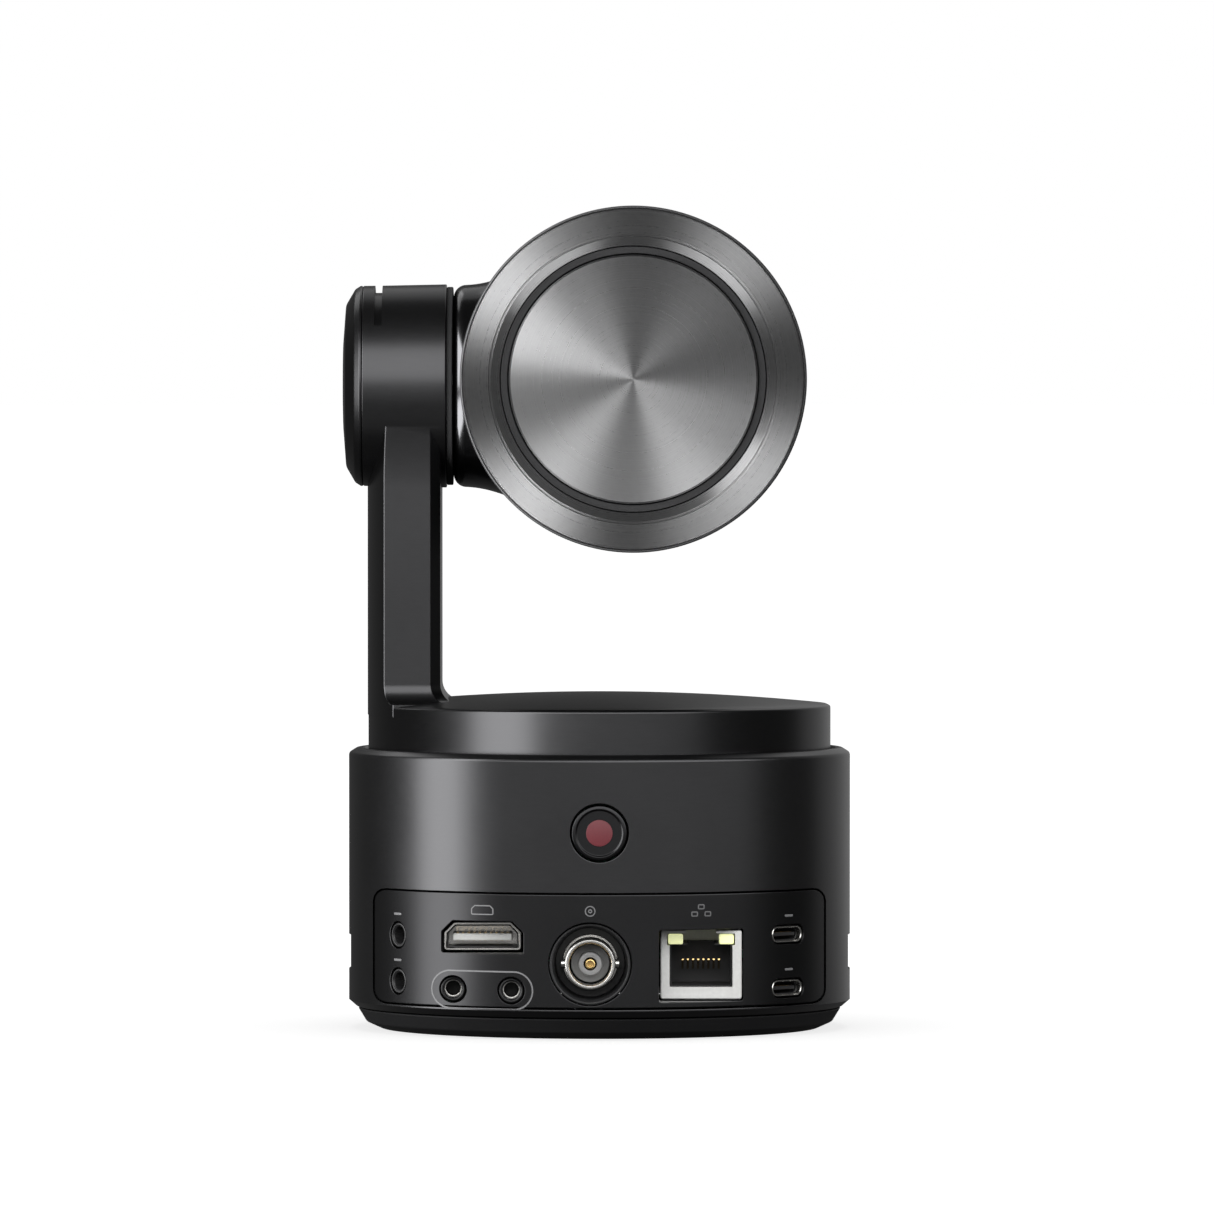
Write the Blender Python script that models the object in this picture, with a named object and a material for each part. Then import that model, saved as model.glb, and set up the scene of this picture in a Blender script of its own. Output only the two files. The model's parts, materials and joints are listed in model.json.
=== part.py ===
"""A desk-top pan, tilt and roll camera on a single arm, as an assembly of separate pieces.

Frame: metres, +Z up, origin on the pan axis at the surface the camera stands on. The lens looks
along +Y and the sockets face -Y. The arm stands on the -X side.
"""

import math

import bmesh
import bpy
from mathutils import Matrix, Vector

MM = 0.001
GAP = 0.3 * MM  # between pieces that touch
MERGE = 0.002 * MM
SHARP_ANGLE = math.radians(32)

# Facets round a full circle, by the size of the turned piece.
LARGE = 48
MIDDLE = 24
SMALL = 14
TINY = 8

# Base
BASE_RADIUS = 50.1 * MM
FOOT_TOP = 4.1 * MM
SHELL_BOTTOM = FOOT_TOP + GAP
SHELL_TOP = 56.0 * MM
SHELL_INNER = 47.8 * MM
LIP_RADIUS = 46.7 * MM
LIP_BOTTOM = 53.4 * MM
SCREW_CIRCLE = 33.0 * MM
SCREW_ANGLES = (90, 210, 330)
PANEL_RADIUS = 49.9 * MM
PANEL_INNER = 47.5 * MM
PANEL_HALF_WIDTH = 44.6 * MM
PANEL_LOW = 6.3 * MM
PANEL_HIGH = 28.6 * MM
PANEL_CORNER = 2.4 * MM
BOARD_LOW = 14.9 * MM
BOARD_HIGH = 16.5 * MM
DECK_LOW = 38.6 * MM
DECK_HIGH = 40.6 * MM
BUTTON_HEIGHT = 40.7 * MM
BUTTON_RADIUS = 5.5 * MM

# Sockets: centres across (x) and up (z), and the depth (y) of the mouth
VIDEO = (-23.0 * MM, -38.8 * MM, 20.0 * MM)
NETWORK = (20.0 * MM, -41.0 * MM, 14.5 * MM)
VIDEO_OPENING = (16.2 * MM, 6.4 * MM)
NETWORK_OPENING = (16.6 * MM, 14.2 * MM)
COAX = (-1.8 * MM, -48.8 * MM, 14.95 * MM)
COAX_OPENING_RADIUS = 8.5 * MM
CONTROL_JACKS = ((-28.8 * MM, -38.8 * MM), (-17.3 * MM, -45.6 * MM))
CONTROL_HEIGHT = 9.65 * MM
USB_ANGLE = 48.5
USB_HEIGHTS = {"upper": 20.1 * MM, "lower": 9.5 * MM}
AUDIO_ANGLE = -53.0
AUDIO_HEIGHTS = {"upper": 19.8 * MM, "lower": 10.7 * MM}
JACK_RADIUS = 2.4 * MM
JACK_BORE = 1.75 * MM

# Turntable and arm
TABLE_RADIUS = 46.2 * MM
TABLE_BOTTOM = 53.9 * MM
TABLE_EDGE = 64.6 * MM
TABLE_TOP = 67.0 * MM
TABLE_CEILING = 61.6 * MM
ARM_RADIUS = 46.35 * MM
ARM_INNER = 31.6 * MM
ARM_HALF_WIDTH = 17.6 * MM
ARM_CHAMFER = 2.0 * MM
ARM_FILLET = 4.0 * MM

# Tilt axis: along X at this height; HOUSING_* are places along it
TILT_HEIGHT = 128.2 * MM
HOUSING_LEFT = -47.2 * MM
HOUSING_RIGHT = -30.5 * MM
HOUSING_RADIUS = 20.0 * MM
HOUSING_BORE = 17.6 * MM
WEB_LEFT = -33.6 * MM

# Head: the optical axis runs along Y at this place
OPTICAL_X = 6.7 * MM
OPTICAL_HEIGHT = 129.6 * MM
HEAD_RADIUS = 34.0 * MM
RING_RADIUS = 34.3 * MM
DRUM_BACK = -26.0 * MM
DRUM_FRONT = 25.0 * MM
DRUM_BORE = 31.1 * MM
NECK_LEFT = -28.9 * MM


# ---------------------------------------------------------------- materials


def material(name, colour, roughness, metallic):
    made = bpy.data.materials.new(name)
    made.use_nodes = True
    shader = made.node_tree.nodes["Principled BSDF"]
    shader.inputs["Base Color"].default_value = (*colour, 1.0)
    shader.inputs["Roughness"].default_value = roughness
    shader.inputs["Metallic"].default_value = metallic
    return made


def make_materials():
    """The finish of each kind of piece, by name."""
    kinds = {
        "dark_metal": ((0.045, 0.045, 0.048), 0.42, 0.9),
        "panel_plastic": ((0.035, 0.035, 0.037), 0.5, 0.0),
        "rubber": ((0.012, 0.012, 0.013), 0.75, 0.0),
        "black_plastic": ((0.01, 0.01, 0.011), 0.45, 0.0),
        "gloss_black": ((0.006, 0.006, 0.007), 0.12, 0.0),
        "spun_metal": ((0.3, 0.3, 0.31), 0.28, 1.0),
        "steel": ((0.55, 0.55, 0.56), 0.3, 1.0),
        "nickel": ((0.62, 0.6, 0.57), 0.22, 1.0),
        "brass": ((0.7, 0.52, 0.25), 0.3, 1.0),
        "circuit_board": ((0.01, 0.09, 0.05), 0.55, 0.0),
        "copper": ((0.55, 0.24, 0.12), 0.4, 1.0),
        "white_plastic": ((0.7, 0.7, 0.68), 0.4, 0.0),
        "amber_lamp": ((0.6, 0.62, 0.2), 0.25, 0.0),
        "glass": ((0.05, 0.06, 0.08), 0.03, 0.0),
    }
    return {name: material(name, *values) for name, values in kinds.items()}


# ---------------------------------------------------------------- mesh tools


def cleaned(bm):
    bmesh.ops.remove_doubles(bm, verts=bm.verts, dist=MERGE)
    bmesh.ops.recalc_face_normals(bm, faces=bm.faces)
    return bm


def turned(profile, facets, degrees=360):
    """A solid of revolution about local Z from (radius, height) points, closed or ending on the axis."""
    bm = bmesh.new()
    points = [bm.verts.new((radius, 0, height)) for radius, height in profile]
    ends_on_axis = profile[0][0] == 0 and profile[-1][0] == 0
    following = points[1:] if ends_on_axis else points[1:] + points[:1]
    edges = [bm.edges.new(pair) for pair in zip(points, following)]
    whole = degrees == 360
    first_cap = [] if whole else [bm.faces.new(points)]
    bmesh.ops.spin(
        bm, geom=points + edges + first_cap, axis=(0, 0, 1), cent=(0, 0, 0),
        angle=math.radians(degrees), steps=facets, use_merge=whole,
    )
    return cleaned(bm)


def loft(sections):
    """A closed solid through horizontal loops that all have the same number of points."""
    bm = bmesh.new()
    loops = [[bm.verts.new(point) for point in section] for section in sections]
    for low, high in zip(loops, loops[1:]):
        for i in range(len(low)):
            j = (i + 1) % len(low)
            bm.faces.new((low[i], low[j], high[j], high[i]))
    bm.faces.new(reversed(loops[0]))
    bm.faces.new(loops[-1])
    return cleaned(bm)


def prism(outline, low, high):
    """An outline of (x, y) points raised along local Z."""
    return loft([[(x, y, z) for x, y in outline] for z in (low, high)])


def ring_prism(outer, inner, low, high):
    """Two outlines with the same number of (x, y) points, the space between them raised along Z."""
    bm = bmesh.new()
    loops = [
        [bm.verts.new((x, y, z)) for x, y in outline]
        for outline, z in ((outer, low), (outer, high), (inner, high), (inner, low))
    ]
    for near, far in zip(loops, loops[1:] + loops[:1]):
        for i in range(len(near)):
            j = (i + 1) % len(near)
            bm.faces.new((near[i], near[j], far[j], far[i]))
    return cleaned(bm)


def block(low, high):
    corners = [(low[0], low[1]), (high[0], low[1]), (high[0], high[1]), (low[0], high[1])]
    return prism(corners, low[2], high[2])


def circle(radius, count):
    turns = [2 * math.pi * i / count for i in range(count)]
    return [(radius * math.cos(turn), radius * math.sin(turn)) for turn in turns]


def rounded_rectangle(width, height, radius, steps):
    """The outline of a rectangle centred on the origin, with round corners."""
    outline = []
    for quarter, (side_x, side_y) in enumerate(((1, 1), (-1, 1), (-1, -1), (1, -1))):
        centre_x = side_x * (width / 2 - radius)
        centre_y = side_y * (height / 2 - radius)
        for step in range(steps + 1):
            turn = math.radians(90 * (quarter + step / steps))
            outline.append((centre_x + radius * math.cos(turn), centre_y + radius * math.sin(turn)))
    return outline


# ---------------------------------------------------------------- placing

UP = Matrix.Identity(4)
ALONG_X = Matrix.Rotation(math.radians(90), 4, "Y")  # local Z to +X
ALONG_Y = Matrix.Rotation(math.radians(-90), 4, "X")  # local Z to +Y


def at(x, y, z):
    return Matrix.Translation((x, y, z))


def radial(degrees, height):
    """Local Z points out of the base wall, at this angle from -Y towards +X, and local Y points up."""
    turn = Matrix.Rotation(math.radians(degrees), 4, "Z")
    return at(0, 0, height) @ turn @ Matrix.Rotation(math.radians(90), 4, "X")


def add(name, bm, finish, axis=None, placing=UP):
    """Makes the named object. axis is the empty it turns or slides with, placing is in world space."""
    mesh = bpy.data.meshes.new(name)
    bm.to_mesh(mesh)
    bm.free()
    mesh.shade_smooth()
    mesh.set_sharp_from_angle(angle=SHARP_ANGLE)
    if finish:
        mesh.materials.append(finish)
    made = bpy.data.objects.new(name, mesh)
    bpy.context.scene.collection.objects.link(made)
    if axis:
        made.parent = axis
        # The mesh is shifted so that the object's origin is on its joint's axis.
        made.data.transform(axis.matrix_world.inverted() @ placing)
    else:
        made.matrix_world = placing
    return made


def shape(target, operation, bm, placing=UP):
    """Joins a helper to the target, or cuts it away, with a Boolean modifier."""
    tool = add(f"{target.name}_tool_{len(target.modifiers) + 1}", bm, None, target.parent, placing)
    tool.hide_render = True
    tool.display_type = "WIRE"
    modifier = target.modifiers.new(operation.title(), "BOOLEAN")
    modifier.operation = operation
    modifier.solver = "EXACT"
    modifier.object = tool


def joint_axis(name, place, parent=None):
    empty = bpy.data.objects.new(name, None)
    empty.empty_display_size = 10 * MM
    bpy.context.scene.collection.objects.link(empty)
    empty.parent = parent
    empty.location = Vector(place) - (parent.matrix_world.translation if parent else Vector())
    bpy.context.view_layer.update()
    return empty


# ---------------------------------------------------------------- base


def make_foot(finishes):
    """Rubber ring, drawn in below the shell and rounded at the surface it stands on."""
    profile = [
        (48.3 * MM, FOOT_TOP), (46.6 * MM, 1.2 * MM), (45.4 * MM, 0.4 * MM),
        (43.4 * MM, 0), (38.5 * MM, 0), (38.5 * MM, FOOT_TOP),
    ]
    add("foot_ring", turned(profile, LARGE), finishes["rubber"])


def screw_places():
    for number, degrees in enumerate(SCREW_ANGLES, 1):
        turn = math.radians(degrees)
        yield number, SCREW_CIRCLE * math.cos(turn), SCREW_CIRCLE * math.sin(turn)


def make_bottom(finishes):
    """Bottom plate with its tripod bush and three screws."""
    plate_low = 0.9 * MM
    bush_radius = 8.0 * MM
    bush_bore = 3.2 * MM
    head_radius = 2.4 * MM
    shank_radius = 1.2 * MM
    step = 2.6 * MM
    plate = add("base_plate", turned([
        (38.2 * MM, FOOT_TOP), (38.2 * MM, plate_low),
        (bush_radius + GAP, plate_low), (bush_radius + GAP, FOOT_TOP),
    ], LARGE), finishes["dark_metal"])
    bush = [
        (bush_radius, 5.4 * MM), (bush_radius, 0.6 * MM), (bush_radius - 0.3 * MM, 0.3 * MM),
        (bush_bore + 0.4 * MM, 0.3 * MM), (bush_bore, 0.7 * MM), (bush_bore, 5.4 * MM),
    ]
    add("tripod_insert", turned(bush, SMALL), finishes["steel"])
    for number, x, y in screw_places():
        counterbore = [
            (0, 6 * MM), (1.6 * MM, 6 * MM), (1.6 * MM, step), (2.8 * MM, step), (2.8 * MM, 0), (0, 0),
        ]
        shape(plate, "DIFFERENCE", turned(counterbore, TINY), at(x, y, 0))
        screw = [
            (0, 11 * MM), (shank_radius, 11 * MM), (shank_radius, 2.3 * MM), (head_radius, 2.3 * MM),
            (head_radius, 1.1 * MM), (1.1 * MM, 1.1 * MM), (0.9 * MM, 1.9 * MM), (0, 1.9 * MM),
        ]
        add(f"base_screw_{number}", turned(screw, TINY), finishes["steel"], placing=at(x, y, 0))


def panel_window(grow):
    """A rounded rectangle that runs through the rear wall, larger than the panel by grow all round."""
    width = 2 * (PANEL_HALF_WIDTH + grow)
    height = PANEL_HIGH - PANEL_LOW + 2 * grow
    outline = rounded_rectangle(width, height, PANEL_CORNER + grow, 3)
    middle = (PANEL_LOW + PANEL_HIGH) / 2
    return prism(outline, 12 * MM, 60 * MM), radial(0, middle)


def make_shell(finishes):
    """Turned wall with a lip round the turntable, a window for the panel and a hole for the button."""
    shell = add("base_shell", turned([
        (48.5 * MM, SHELL_BOTTOM), (44.0 * MM, SHELL_BOTTOM), (44.0 * MM, 5.6 * MM),
        (SHELL_INNER, 5.6 * MM), (SHELL_INNER, LIP_BOTTOM), (LIP_RADIUS, LIP_BOTTOM),
        (LIP_RADIUS, SHELL_TOP), (47.8 * MM, SHELL_TOP), (BASE_RADIUS, 54.9 * MM),
        (BASE_RADIUS, 5.9 * MM),
    ], LARGE), finishes["dark_metal"])
    shape(shell, "DIFFERENCE", *panel_window(GAP))
    hole = prism(circle(BUTTON_RADIUS + GAP, 20), 44 * MM, 54 * MM)
    shape(shell, "DIFFERENCE", hole, radial(0, BUTTON_HEIGHT))
    notch_depth = 0.5 * MM
    notch = [(11.8 * MM, 0), (12.2 * MM, -notch_depth), (18.4 * MM, -notch_depth), (18.8 * MM, 0)]
    for side in (-1, 1):
        outline = [(side * (BASE_RADIUS + depth), height) for height, depth in notch]
        outline += [(side * 52 * MM, 18.8 * MM), (side * 52 * MM, 11.8 * MM)]
        flat = prism(outline, -9 * MM, 9 * MM)
        shape(shell, "DIFFERENCE", flat, Matrix.Rotation(math.radians(90), 4, "X"))


def hexagonal_mouth(width, height, chamfer):
    """A flat rectangle with its two upper corners cut away, as a video socket has."""
    half = width / 2
    low, high = -height / 2, height / 2
    return [
        (-half, low), (half, low), (half, high - chamfer), (half - chamfer, high),
        (chamfer - half, high), (-half, high - chamfer),
    ]


def facing_out(place):
    """Local Z points out of the sockets' mouths, along -Y, and local Y points up."""
    return at(*place) @ Matrix.Rotation(math.radians(90), 4, "X")


def make_panel(finishes):
    """Curved connector panel, with square collars behind the two large sockets."""
    spare = 2 * MM  # beyond the outline that is cut last
    proud = PANEL_RADIUS + spare
    low, high = PANEL_LOW - spare, PANEL_HIGH + spare
    blank = [(proud, low), (proud, high), (PANEL_INNER, high), (PANEL_INNER, low)]
    panel = add("io_panel", turned(blank, LARGE), finishes["panel_plastic"])
    collar_wall = 1.2 * MM
    for place, (width, height) in ((VIDEO, VIDEO_OPENING), (NETWORK, NETWORK_OPENING)):
        collar = rounded_rectangle(width + 2 * collar_wall, height + 2 * collar_wall, 0.6 * MM, 1)
        shape(panel, "UNION", prism(collar, -2.5 * MM, 12 * MM), facing_out(place))
    face = [(0, 0), (PANEL_RADIUS, 0), (PANEL_RADIUS, 40 * MM), (0, 40 * MM)]
    shape(panel, "INTERSECT", turned(face, LARGE))
    shape(panel, "INTERSECT", *panel_window(0))
    video_hole = hexagonal_mouth(*VIDEO_OPENING, 2.2 * MM)
    shape(panel, "DIFFERENCE", prism(video_hole, -6 * MM, 14 * MM), facing_out(VIDEO))
    network_hole = rounded_rectangle(*NETWORK_OPENING, 0.3 * MM, 1)
    shape(panel, "DIFFERENCE", prism(network_hole, -6 * MM, 12 * MM), facing_out(NETWORK))
    coax_hole = prism(circle(COAX_OPENING_RADIUS, 20), -6 * MM, 4 * MM)
    shape(panel, "DIFFERENCE", coax_hole, facing_out(COAX))
    for x, y in CONTROL_JACKS:
        hole = prism(circle(JACK_RADIUS + GAP, SMALL), -5 * MM, 12 * MM)
        shape(panel, "DIFFERENCE", hole, facing_out((x, y, CONTROL_HEIGHT)))
    for height in AUDIO_HEIGHTS.values():
        hole = prism(circle(JACK_RADIUS + GAP, SMALL), 44 * MM, 54 * MM)
        shape(panel, "DIFFERENCE", hole, radial(AUDIO_ANGLE, height))
    for height in USB_HEIGHTS.values():
        slot = rounded_rectangle(9.6 * MM, 3.9 * MM, 1.9 * MM, 3)
        shape(panel, "DIFFERENCE", prism(slot, 44 * MM, 54 * MM), radial(USB_ANGLE, height))


def make_video_port(finishes):
    """Metal shell with a contact tongue that stands off its back wall."""
    depth = 11.5 * MM
    port = add("video_port", prism(hexagonal_mouth(15.2 * MM, 5.6 * MM, 2.0 * MM), -depth, 0),
               finishes["nickel"], placing=facing_out(VIDEO))
    mouth = prism(hexagonal_mouth(14.2 * MM, 4.6 * MM, 1.7 * MM), -depth + 1.5 * MM, 1 * MM)
    shape(port, "DIFFERENCE", mouth, facing_out(VIDEO))
    tongue = block((-5.8 * MM, -0.9 * MM, -depth + 0.5 * MM), (5.8 * MM, 0.5 * MM, -1.4 * MM))
    shape(port, "UNION", tongue, facing_out(VIDEO))


def make_network_jack(finishes):
    """Shielded jack with a latch notch over its cavity, and a lamp in each upper corner."""
    depth = 18 * MM
    jack = add("network_jack", block((-8.0 * MM, -6.8 * MM, -depth), (8.0 * MM, 6.8 * MM, 0)),
               finishes["nickel"], placing=facing_out(NETWORK))
    hollows = (
        ((-6.1 * MM, -4.4 * MM), (6.1 * MM, 3.6 * MM), 14 * MM),
        ((-2.9 * MM, 3.0 * MM), (2.9 * MM, 7.2 * MM), 12 * MM),
    )
    for low, high, reach in hollows:
        shape(jack, "DIFFERENCE", block((*low, -reach), (*high, 1 * MM)), facing_out(NETWORK))
    lamp_low, lamp_high = (4.0 * MM, 4.2 * MM), (6.8 * MM, 6.0 * MM)
    for side, label in ((-1, "left"), (1, "right")):
        across = sorted((side * lamp_low[0], side * lamp_high[0]))
        low = (across[0], lamp_low[1], -4 * MM)
        high = (across[1], lamp_high[1], -0.1 * MM)
        add(f"network_led_{label}", block(low, high), finishes["amber_lamp"], placing=facing_out(NETWORK))
        pocket = block((low[0] - GAP, low[1] - GAP, low[2] - GAP), (high[0] + GAP, high[1] + GAP, 1 * MM))
        shape(jack, "DIFFERENCE", pocket, facing_out(NETWORK))


def make_coax(finishes):
    """Bayonet connector: a shell with two lugs, its insulator and its centre contact, in a cup."""
    cup = [
        (8.0 * MM, 0), (8.0 * MM, -9.4 * MM), (5.4 * MM, -9.4 * MM), (5.4 * MM, -8.2 * MM),
        (6.9 * MM, -8.2 * MM), (7.1 * MM, -1.0 * MM), (7.5 * MM, 0),
    ]
    add("coax_cup", turned(cup, 20), finishes["black_plastic"], placing=facing_out(COAX))
    tube = [
        (5.0 * MM, 0.3 * MM), (5.0 * MM, -12.5 * MM), (4.1 * MM, -12.5 * MM),
        (4.1 * MM, 0.3 * MM), (4.3 * MM, 0.6 * MM), (4.7 * MM, 0.6 * MM),
    ]
    shell = add("coax_shell", turned(tube, SMALL), finishes["nickel"], placing=facing_out(COAX))
    for turn in (0, 180):
        lug = prism(circle(0.9 * MM, 10), 4.6 * MM, 5.8 * MM)
        lie = Matrix.Rotation(math.radians(turn), 4, "Z") @ ALONG_X
        shape(shell, "UNION", lug, facing_out(COAX) @ at(0, 0, -2.2 * MM) @ lie)
    body = rounded_rectangle(13.6 * MM, 13.6 * MM, 1 * MM, 1)
    shape(shell, "UNION", prism(body, -18 * MM, -9.8 * MM), facing_out(COAX))
    insulator = [
        (3.8 * MM, -5.2 * MM), (3.8 * MM, -9.5 * MM), (1.3 * MM, -9.5 * MM), (1.3 * MM, -1.6 * MM),
        (2.3 * MM, -1.6 * MM), (2.3 * MM, -5.2 * MM),
    ]
    add("coax_insulator", turned(insulator, SMALL), finishes["white_plastic"], placing=facing_out(COAX))
    contact = [
        (0, -9.5 * MM), (1.0 * MM, -9.5 * MM), (1.0 * MM, -1.2 * MM), (0.5 * MM, -1.2 * MM),
        (0.5 * MM, -4.0 * MM), (0, -4.0 * MM),
    ]
    add("coax_contact", turned(contact, TINY), finishes["brass"], placing=facing_out(COAX))


def make_jack(name, finishes, placing, ferrule, body_depth):
    """Round jack: a ferrule of this length in the wall, in front of a square body."""
    half = 2.9 * MM
    outline = rounded_rectangle(2 * half, 2 * half, 0.4 * MM, 1)
    jack = add(name, prism(outline, -ferrule - body_depth, -ferrule), finishes["black_plastic"],
               placing=placing)
    shape(jack, "UNION", prism(circle(JACK_RADIUS, SMALL), -ferrule - 1 * MM, 0), placing)
    bore = prism(circle(JACK_BORE, SMALL), -ferrule - body_depth + 1 * MM, 1 * MM)
    shape(jack, "DIFFERENCE", bore, placing)


def make_side_sockets(finishes):
    """Two audio jacks and two USB-C sockets that face outwards, each pair on its upright board."""
    for label, height in AUDIO_HEIGHTS.items():
        placing = radial(AUDIO_ANGLE, height) @ at(0, 0, 49.7 * MM)
        make_jack(f"audio_jack_{label}", finishes, placing, 2.6 * MM, 8 * MM)
    for label, height in USB_HEIGHTS.items():
        placing = radial(USB_ANGLE, height) @ at(0, 0, 49.5 * MM)
        depth = 7.4 * MM
        outer = rounded_rectangle(8.9 * MM, 3.2 * MM, 1.55 * MM, 3)
        socket = add(f"usb_c_port_{label}", prism(outer, -depth, 0), finishes["nickel"], placing=placing)
        inner = rounded_rectangle(8.3 * MM, 2.6 * MM, 1.25 * MM, 3)
        shape(socket, "DIFFERENCE", prism(inner, -depth + 1 * MM, 1 * MM), placing)
        tongue = block((-3.3 * MM, -0.35 * MM, -depth + 0.5 * MM), (3.3 * MM, 0.35 * MM, -0.8 * MM))
        shape(socket, "UNION", tongue, placing)
    boards = (
        ("usb_board", USB_ANGLE, 41.7 * MM, (-2.8 * MM, 6.5 * MM)),
        ("audio_board", AUDIO_ANGLE, 38.7 * MM, (-6.5 * MM, 3.2 * MM)),
    )
    for name, angle, front, across in boards:
        low = (across[0], 5.9 * MM, front - 1.2 * MM)
        high = (across[1], 24.5 * MM, front)
        add(name, block(low, high), finishes["circuit_board"], placing=radial(angle, 0))


def make_main_board(finishes):
    """Board between the upper and lower sockets, cut away round the tall ones and the posts."""
    board_radius = 37 * MM
    post_clearance = 3.4 * MM
    board = add("main_board", prism(circle(board_radius, MIDDLE), BOARD_LOW, BOARD_HIGH),
                finishes["circuit_board"])
    cutaways = (
        ((COAX[0] - 7.2 * MM, -45 * MM), (COAX[0] + 7.2 * MM, -30.3 * MM)),
        ((NETWORK[0] - 8.4 * MM, -45 * MM), (NETWORK[0] + 8.4 * MM, -22.6 * MM)),
        ((-7 * MM, 25 * MM), (7 * MM, 45 * MM)),
    )
    for low, high in cutaways:
        shape(board, "DIFFERENCE", block((*low, 10 * MM), (*high, 20 * MM)))
    for number, x, y in screw_places():
        if number > 1:
            shape(board, "DIFFERENCE", prism(circle(post_clearance, TINY), 10 * MM, 20 * MM), at(x, y, 0))


def make_chassis(finishes):
    """Deck with the pan motor's boss, on three posts that take the screws of the bottom plate."""
    deck_radius = 40 * MM
    boss_radius, boss_bore, boss_top = 14.5 * MM, 12 * MM, 50.6 * MM
    post_radius = 3 * MM
    screw_bore, screw_reach = 1.5 * MM, 14 * MM
    chassis = add("chassis", turned([
        (deck_radius, DECK_LOW), (deck_radius, DECK_HIGH), (boss_radius, DECK_HIGH),
        (boss_radius, boss_top), (boss_bore, boss_top), (boss_bore, DECK_LOW),
    ], MIDDLE), finishes["dark_metal"])
    for _, x, y in screw_places():
        post = prism(circle(post_radius, TINY), SHELL_BOTTOM, DECK_LOW + 1 * MM)
        shape(chassis, "UNION", post, at(x, y, 0))
        bore = prism(circle(screw_bore, TINY), 0, screw_reach)
        shape(chassis, "DIFFERENCE", bore, at(x, y, 0))


def make_button(finishes, axis):
    """Round power button, flush in the wall, and the switch behind it."""
    face, back = 50.0 * MM, 48.2 * MM
    cap = [
        (0, face), (4.4 * MM, face), (5.2 * MM, 49.85 * MM), (BUTTON_RADIUS, 49.5 * MM),
        (BUTTON_RADIUS, back), (0, back),
    ]
    add("power_button", turned(cap, SMALL), finishes["black_plastic"], axis, radial(0, BUTTON_HEIGHT))
    switch = add("power_switch", block((-6 * MM, -6 * MM, 42.0 * MM), (6 * MM, 6 * MM, 43.2 * MM)),
                 finishes["circuit_board"], placing=radial(0, BUTTON_HEIGHT))
    plunger = block((-3 * MM, -3 * MM, 43.0 * MM), (3 * MM, 3 * MM, 47.2 * MM))
    shape(switch, "UNION", plunger, radial(0, BUTTON_HEIGHT))


# ---------------------------------------------------------------- motors


def make_stator(name, finish, inner, root, outer, teeth, span, placing, axis=None):
    """Wound core: a ring with teeth, on the fixed boss of its motor."""
    outline = []
    hole = []
    for tooth in range(teeth):
        for share, radius in ((0.0, outer), (0.55, outer), (0.62, root), (0.93, root)):
            turn = 2 * math.pi * (tooth + share) / teeth
            outline.append((radius * math.cos(turn), radius * math.sin(turn)))
            hole.append((inner * math.cos(turn), inner * math.sin(turn)))
    add(name, ring_prism(outline, hole, *span), finish, axis, placing)


def make_bearing(prefix, finish, radii, span, placing, axes):
    """Outer ring on the fixed side and inner ring on the shaft; radii run from inside to outside."""
    low, high = span
    for label, (inner, outer), axis in (("inner", radii[:2], axes[1]), ("outer", radii[2:], axes[0])):
        profile = [(inner, low), (outer, low), (outer, high), (inner, high)]
        add(f"{prefix}_bearing_{label}", turned(profile, SMALL), finish, axis, placing)


def make_pan_motor(finishes, pan):
    bell = [
        (6.0 * MM, 41.2 * MM), (8.6 * MM, 41.2 * MM), (8.6 * MM, 51.3 * MM), (24.0 * MM, 51.3 * MM),
        (24.0 * MM, 43.2 * MM), (26.0 * MM, 43.2 * MM), (26.0 * MM, 52.8 * MM), (10.0 * MM, 52.8 * MM),
        (10.0 * MM, 59.6 * MM), (20.0 * MM, 59.6 * MM), (20.0 * MM, 61.3 * MM), (6.0 * MM, 61.3 * MM),
    ]
    add("pan_rotor", turned(bell, MIDDLE), finishes["steel"], pan)
    make_stator("pan_stator", finishes["copper"], 14.8 * MM, 17.5 * MM, 23.5 * MM, 12,
                (43.0 * MM, 50.4 * MM), UP)
    make_bearing("pan", finishes["steel"], (8.9 * MM, 9.9 * MM, 10.5 * MM, 11.7 * MM),
                 (41.6 * MM, 45.6 * MM), UP, (None, pan))


def make_tilt_motor(finishes, pan, tilt):
    along = at(0, 0, TILT_HEIGHT) @ ALONG_X
    bell = [
        (4.2 * MM, -45.9 * MM), (16.6 * MM, -45.9 * MM), (16.6 * MM, -34.6 * MM),
        (15.1 * MM, -34.6 * MM), (15.1 * MM, -44.5 * MM), (6.2 * MM, -44.5 * MM),
        (6.2 * MM, -26.8 * MM), (4.2 * MM, -26.8 * MM),
    ]
    add("tilt_rotor", turned(bell, 20), finishes["steel"], tilt, along)
    make_stator("tilt_stator", finishes["copper"], 11.3 * MM, 12.4 * MM, 14.6 * MM, 9,
                (-43.0 * MM, -35.4 * MM), along, pan)
    make_bearing("tilt", finishes["steel"], (6.5 * MM, 7.2 * MM, 7.7 * MM, 8.6 * MM),
                 (-33.2 * MM, -30.8 * MM), along, (pan, tilt))


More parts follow.
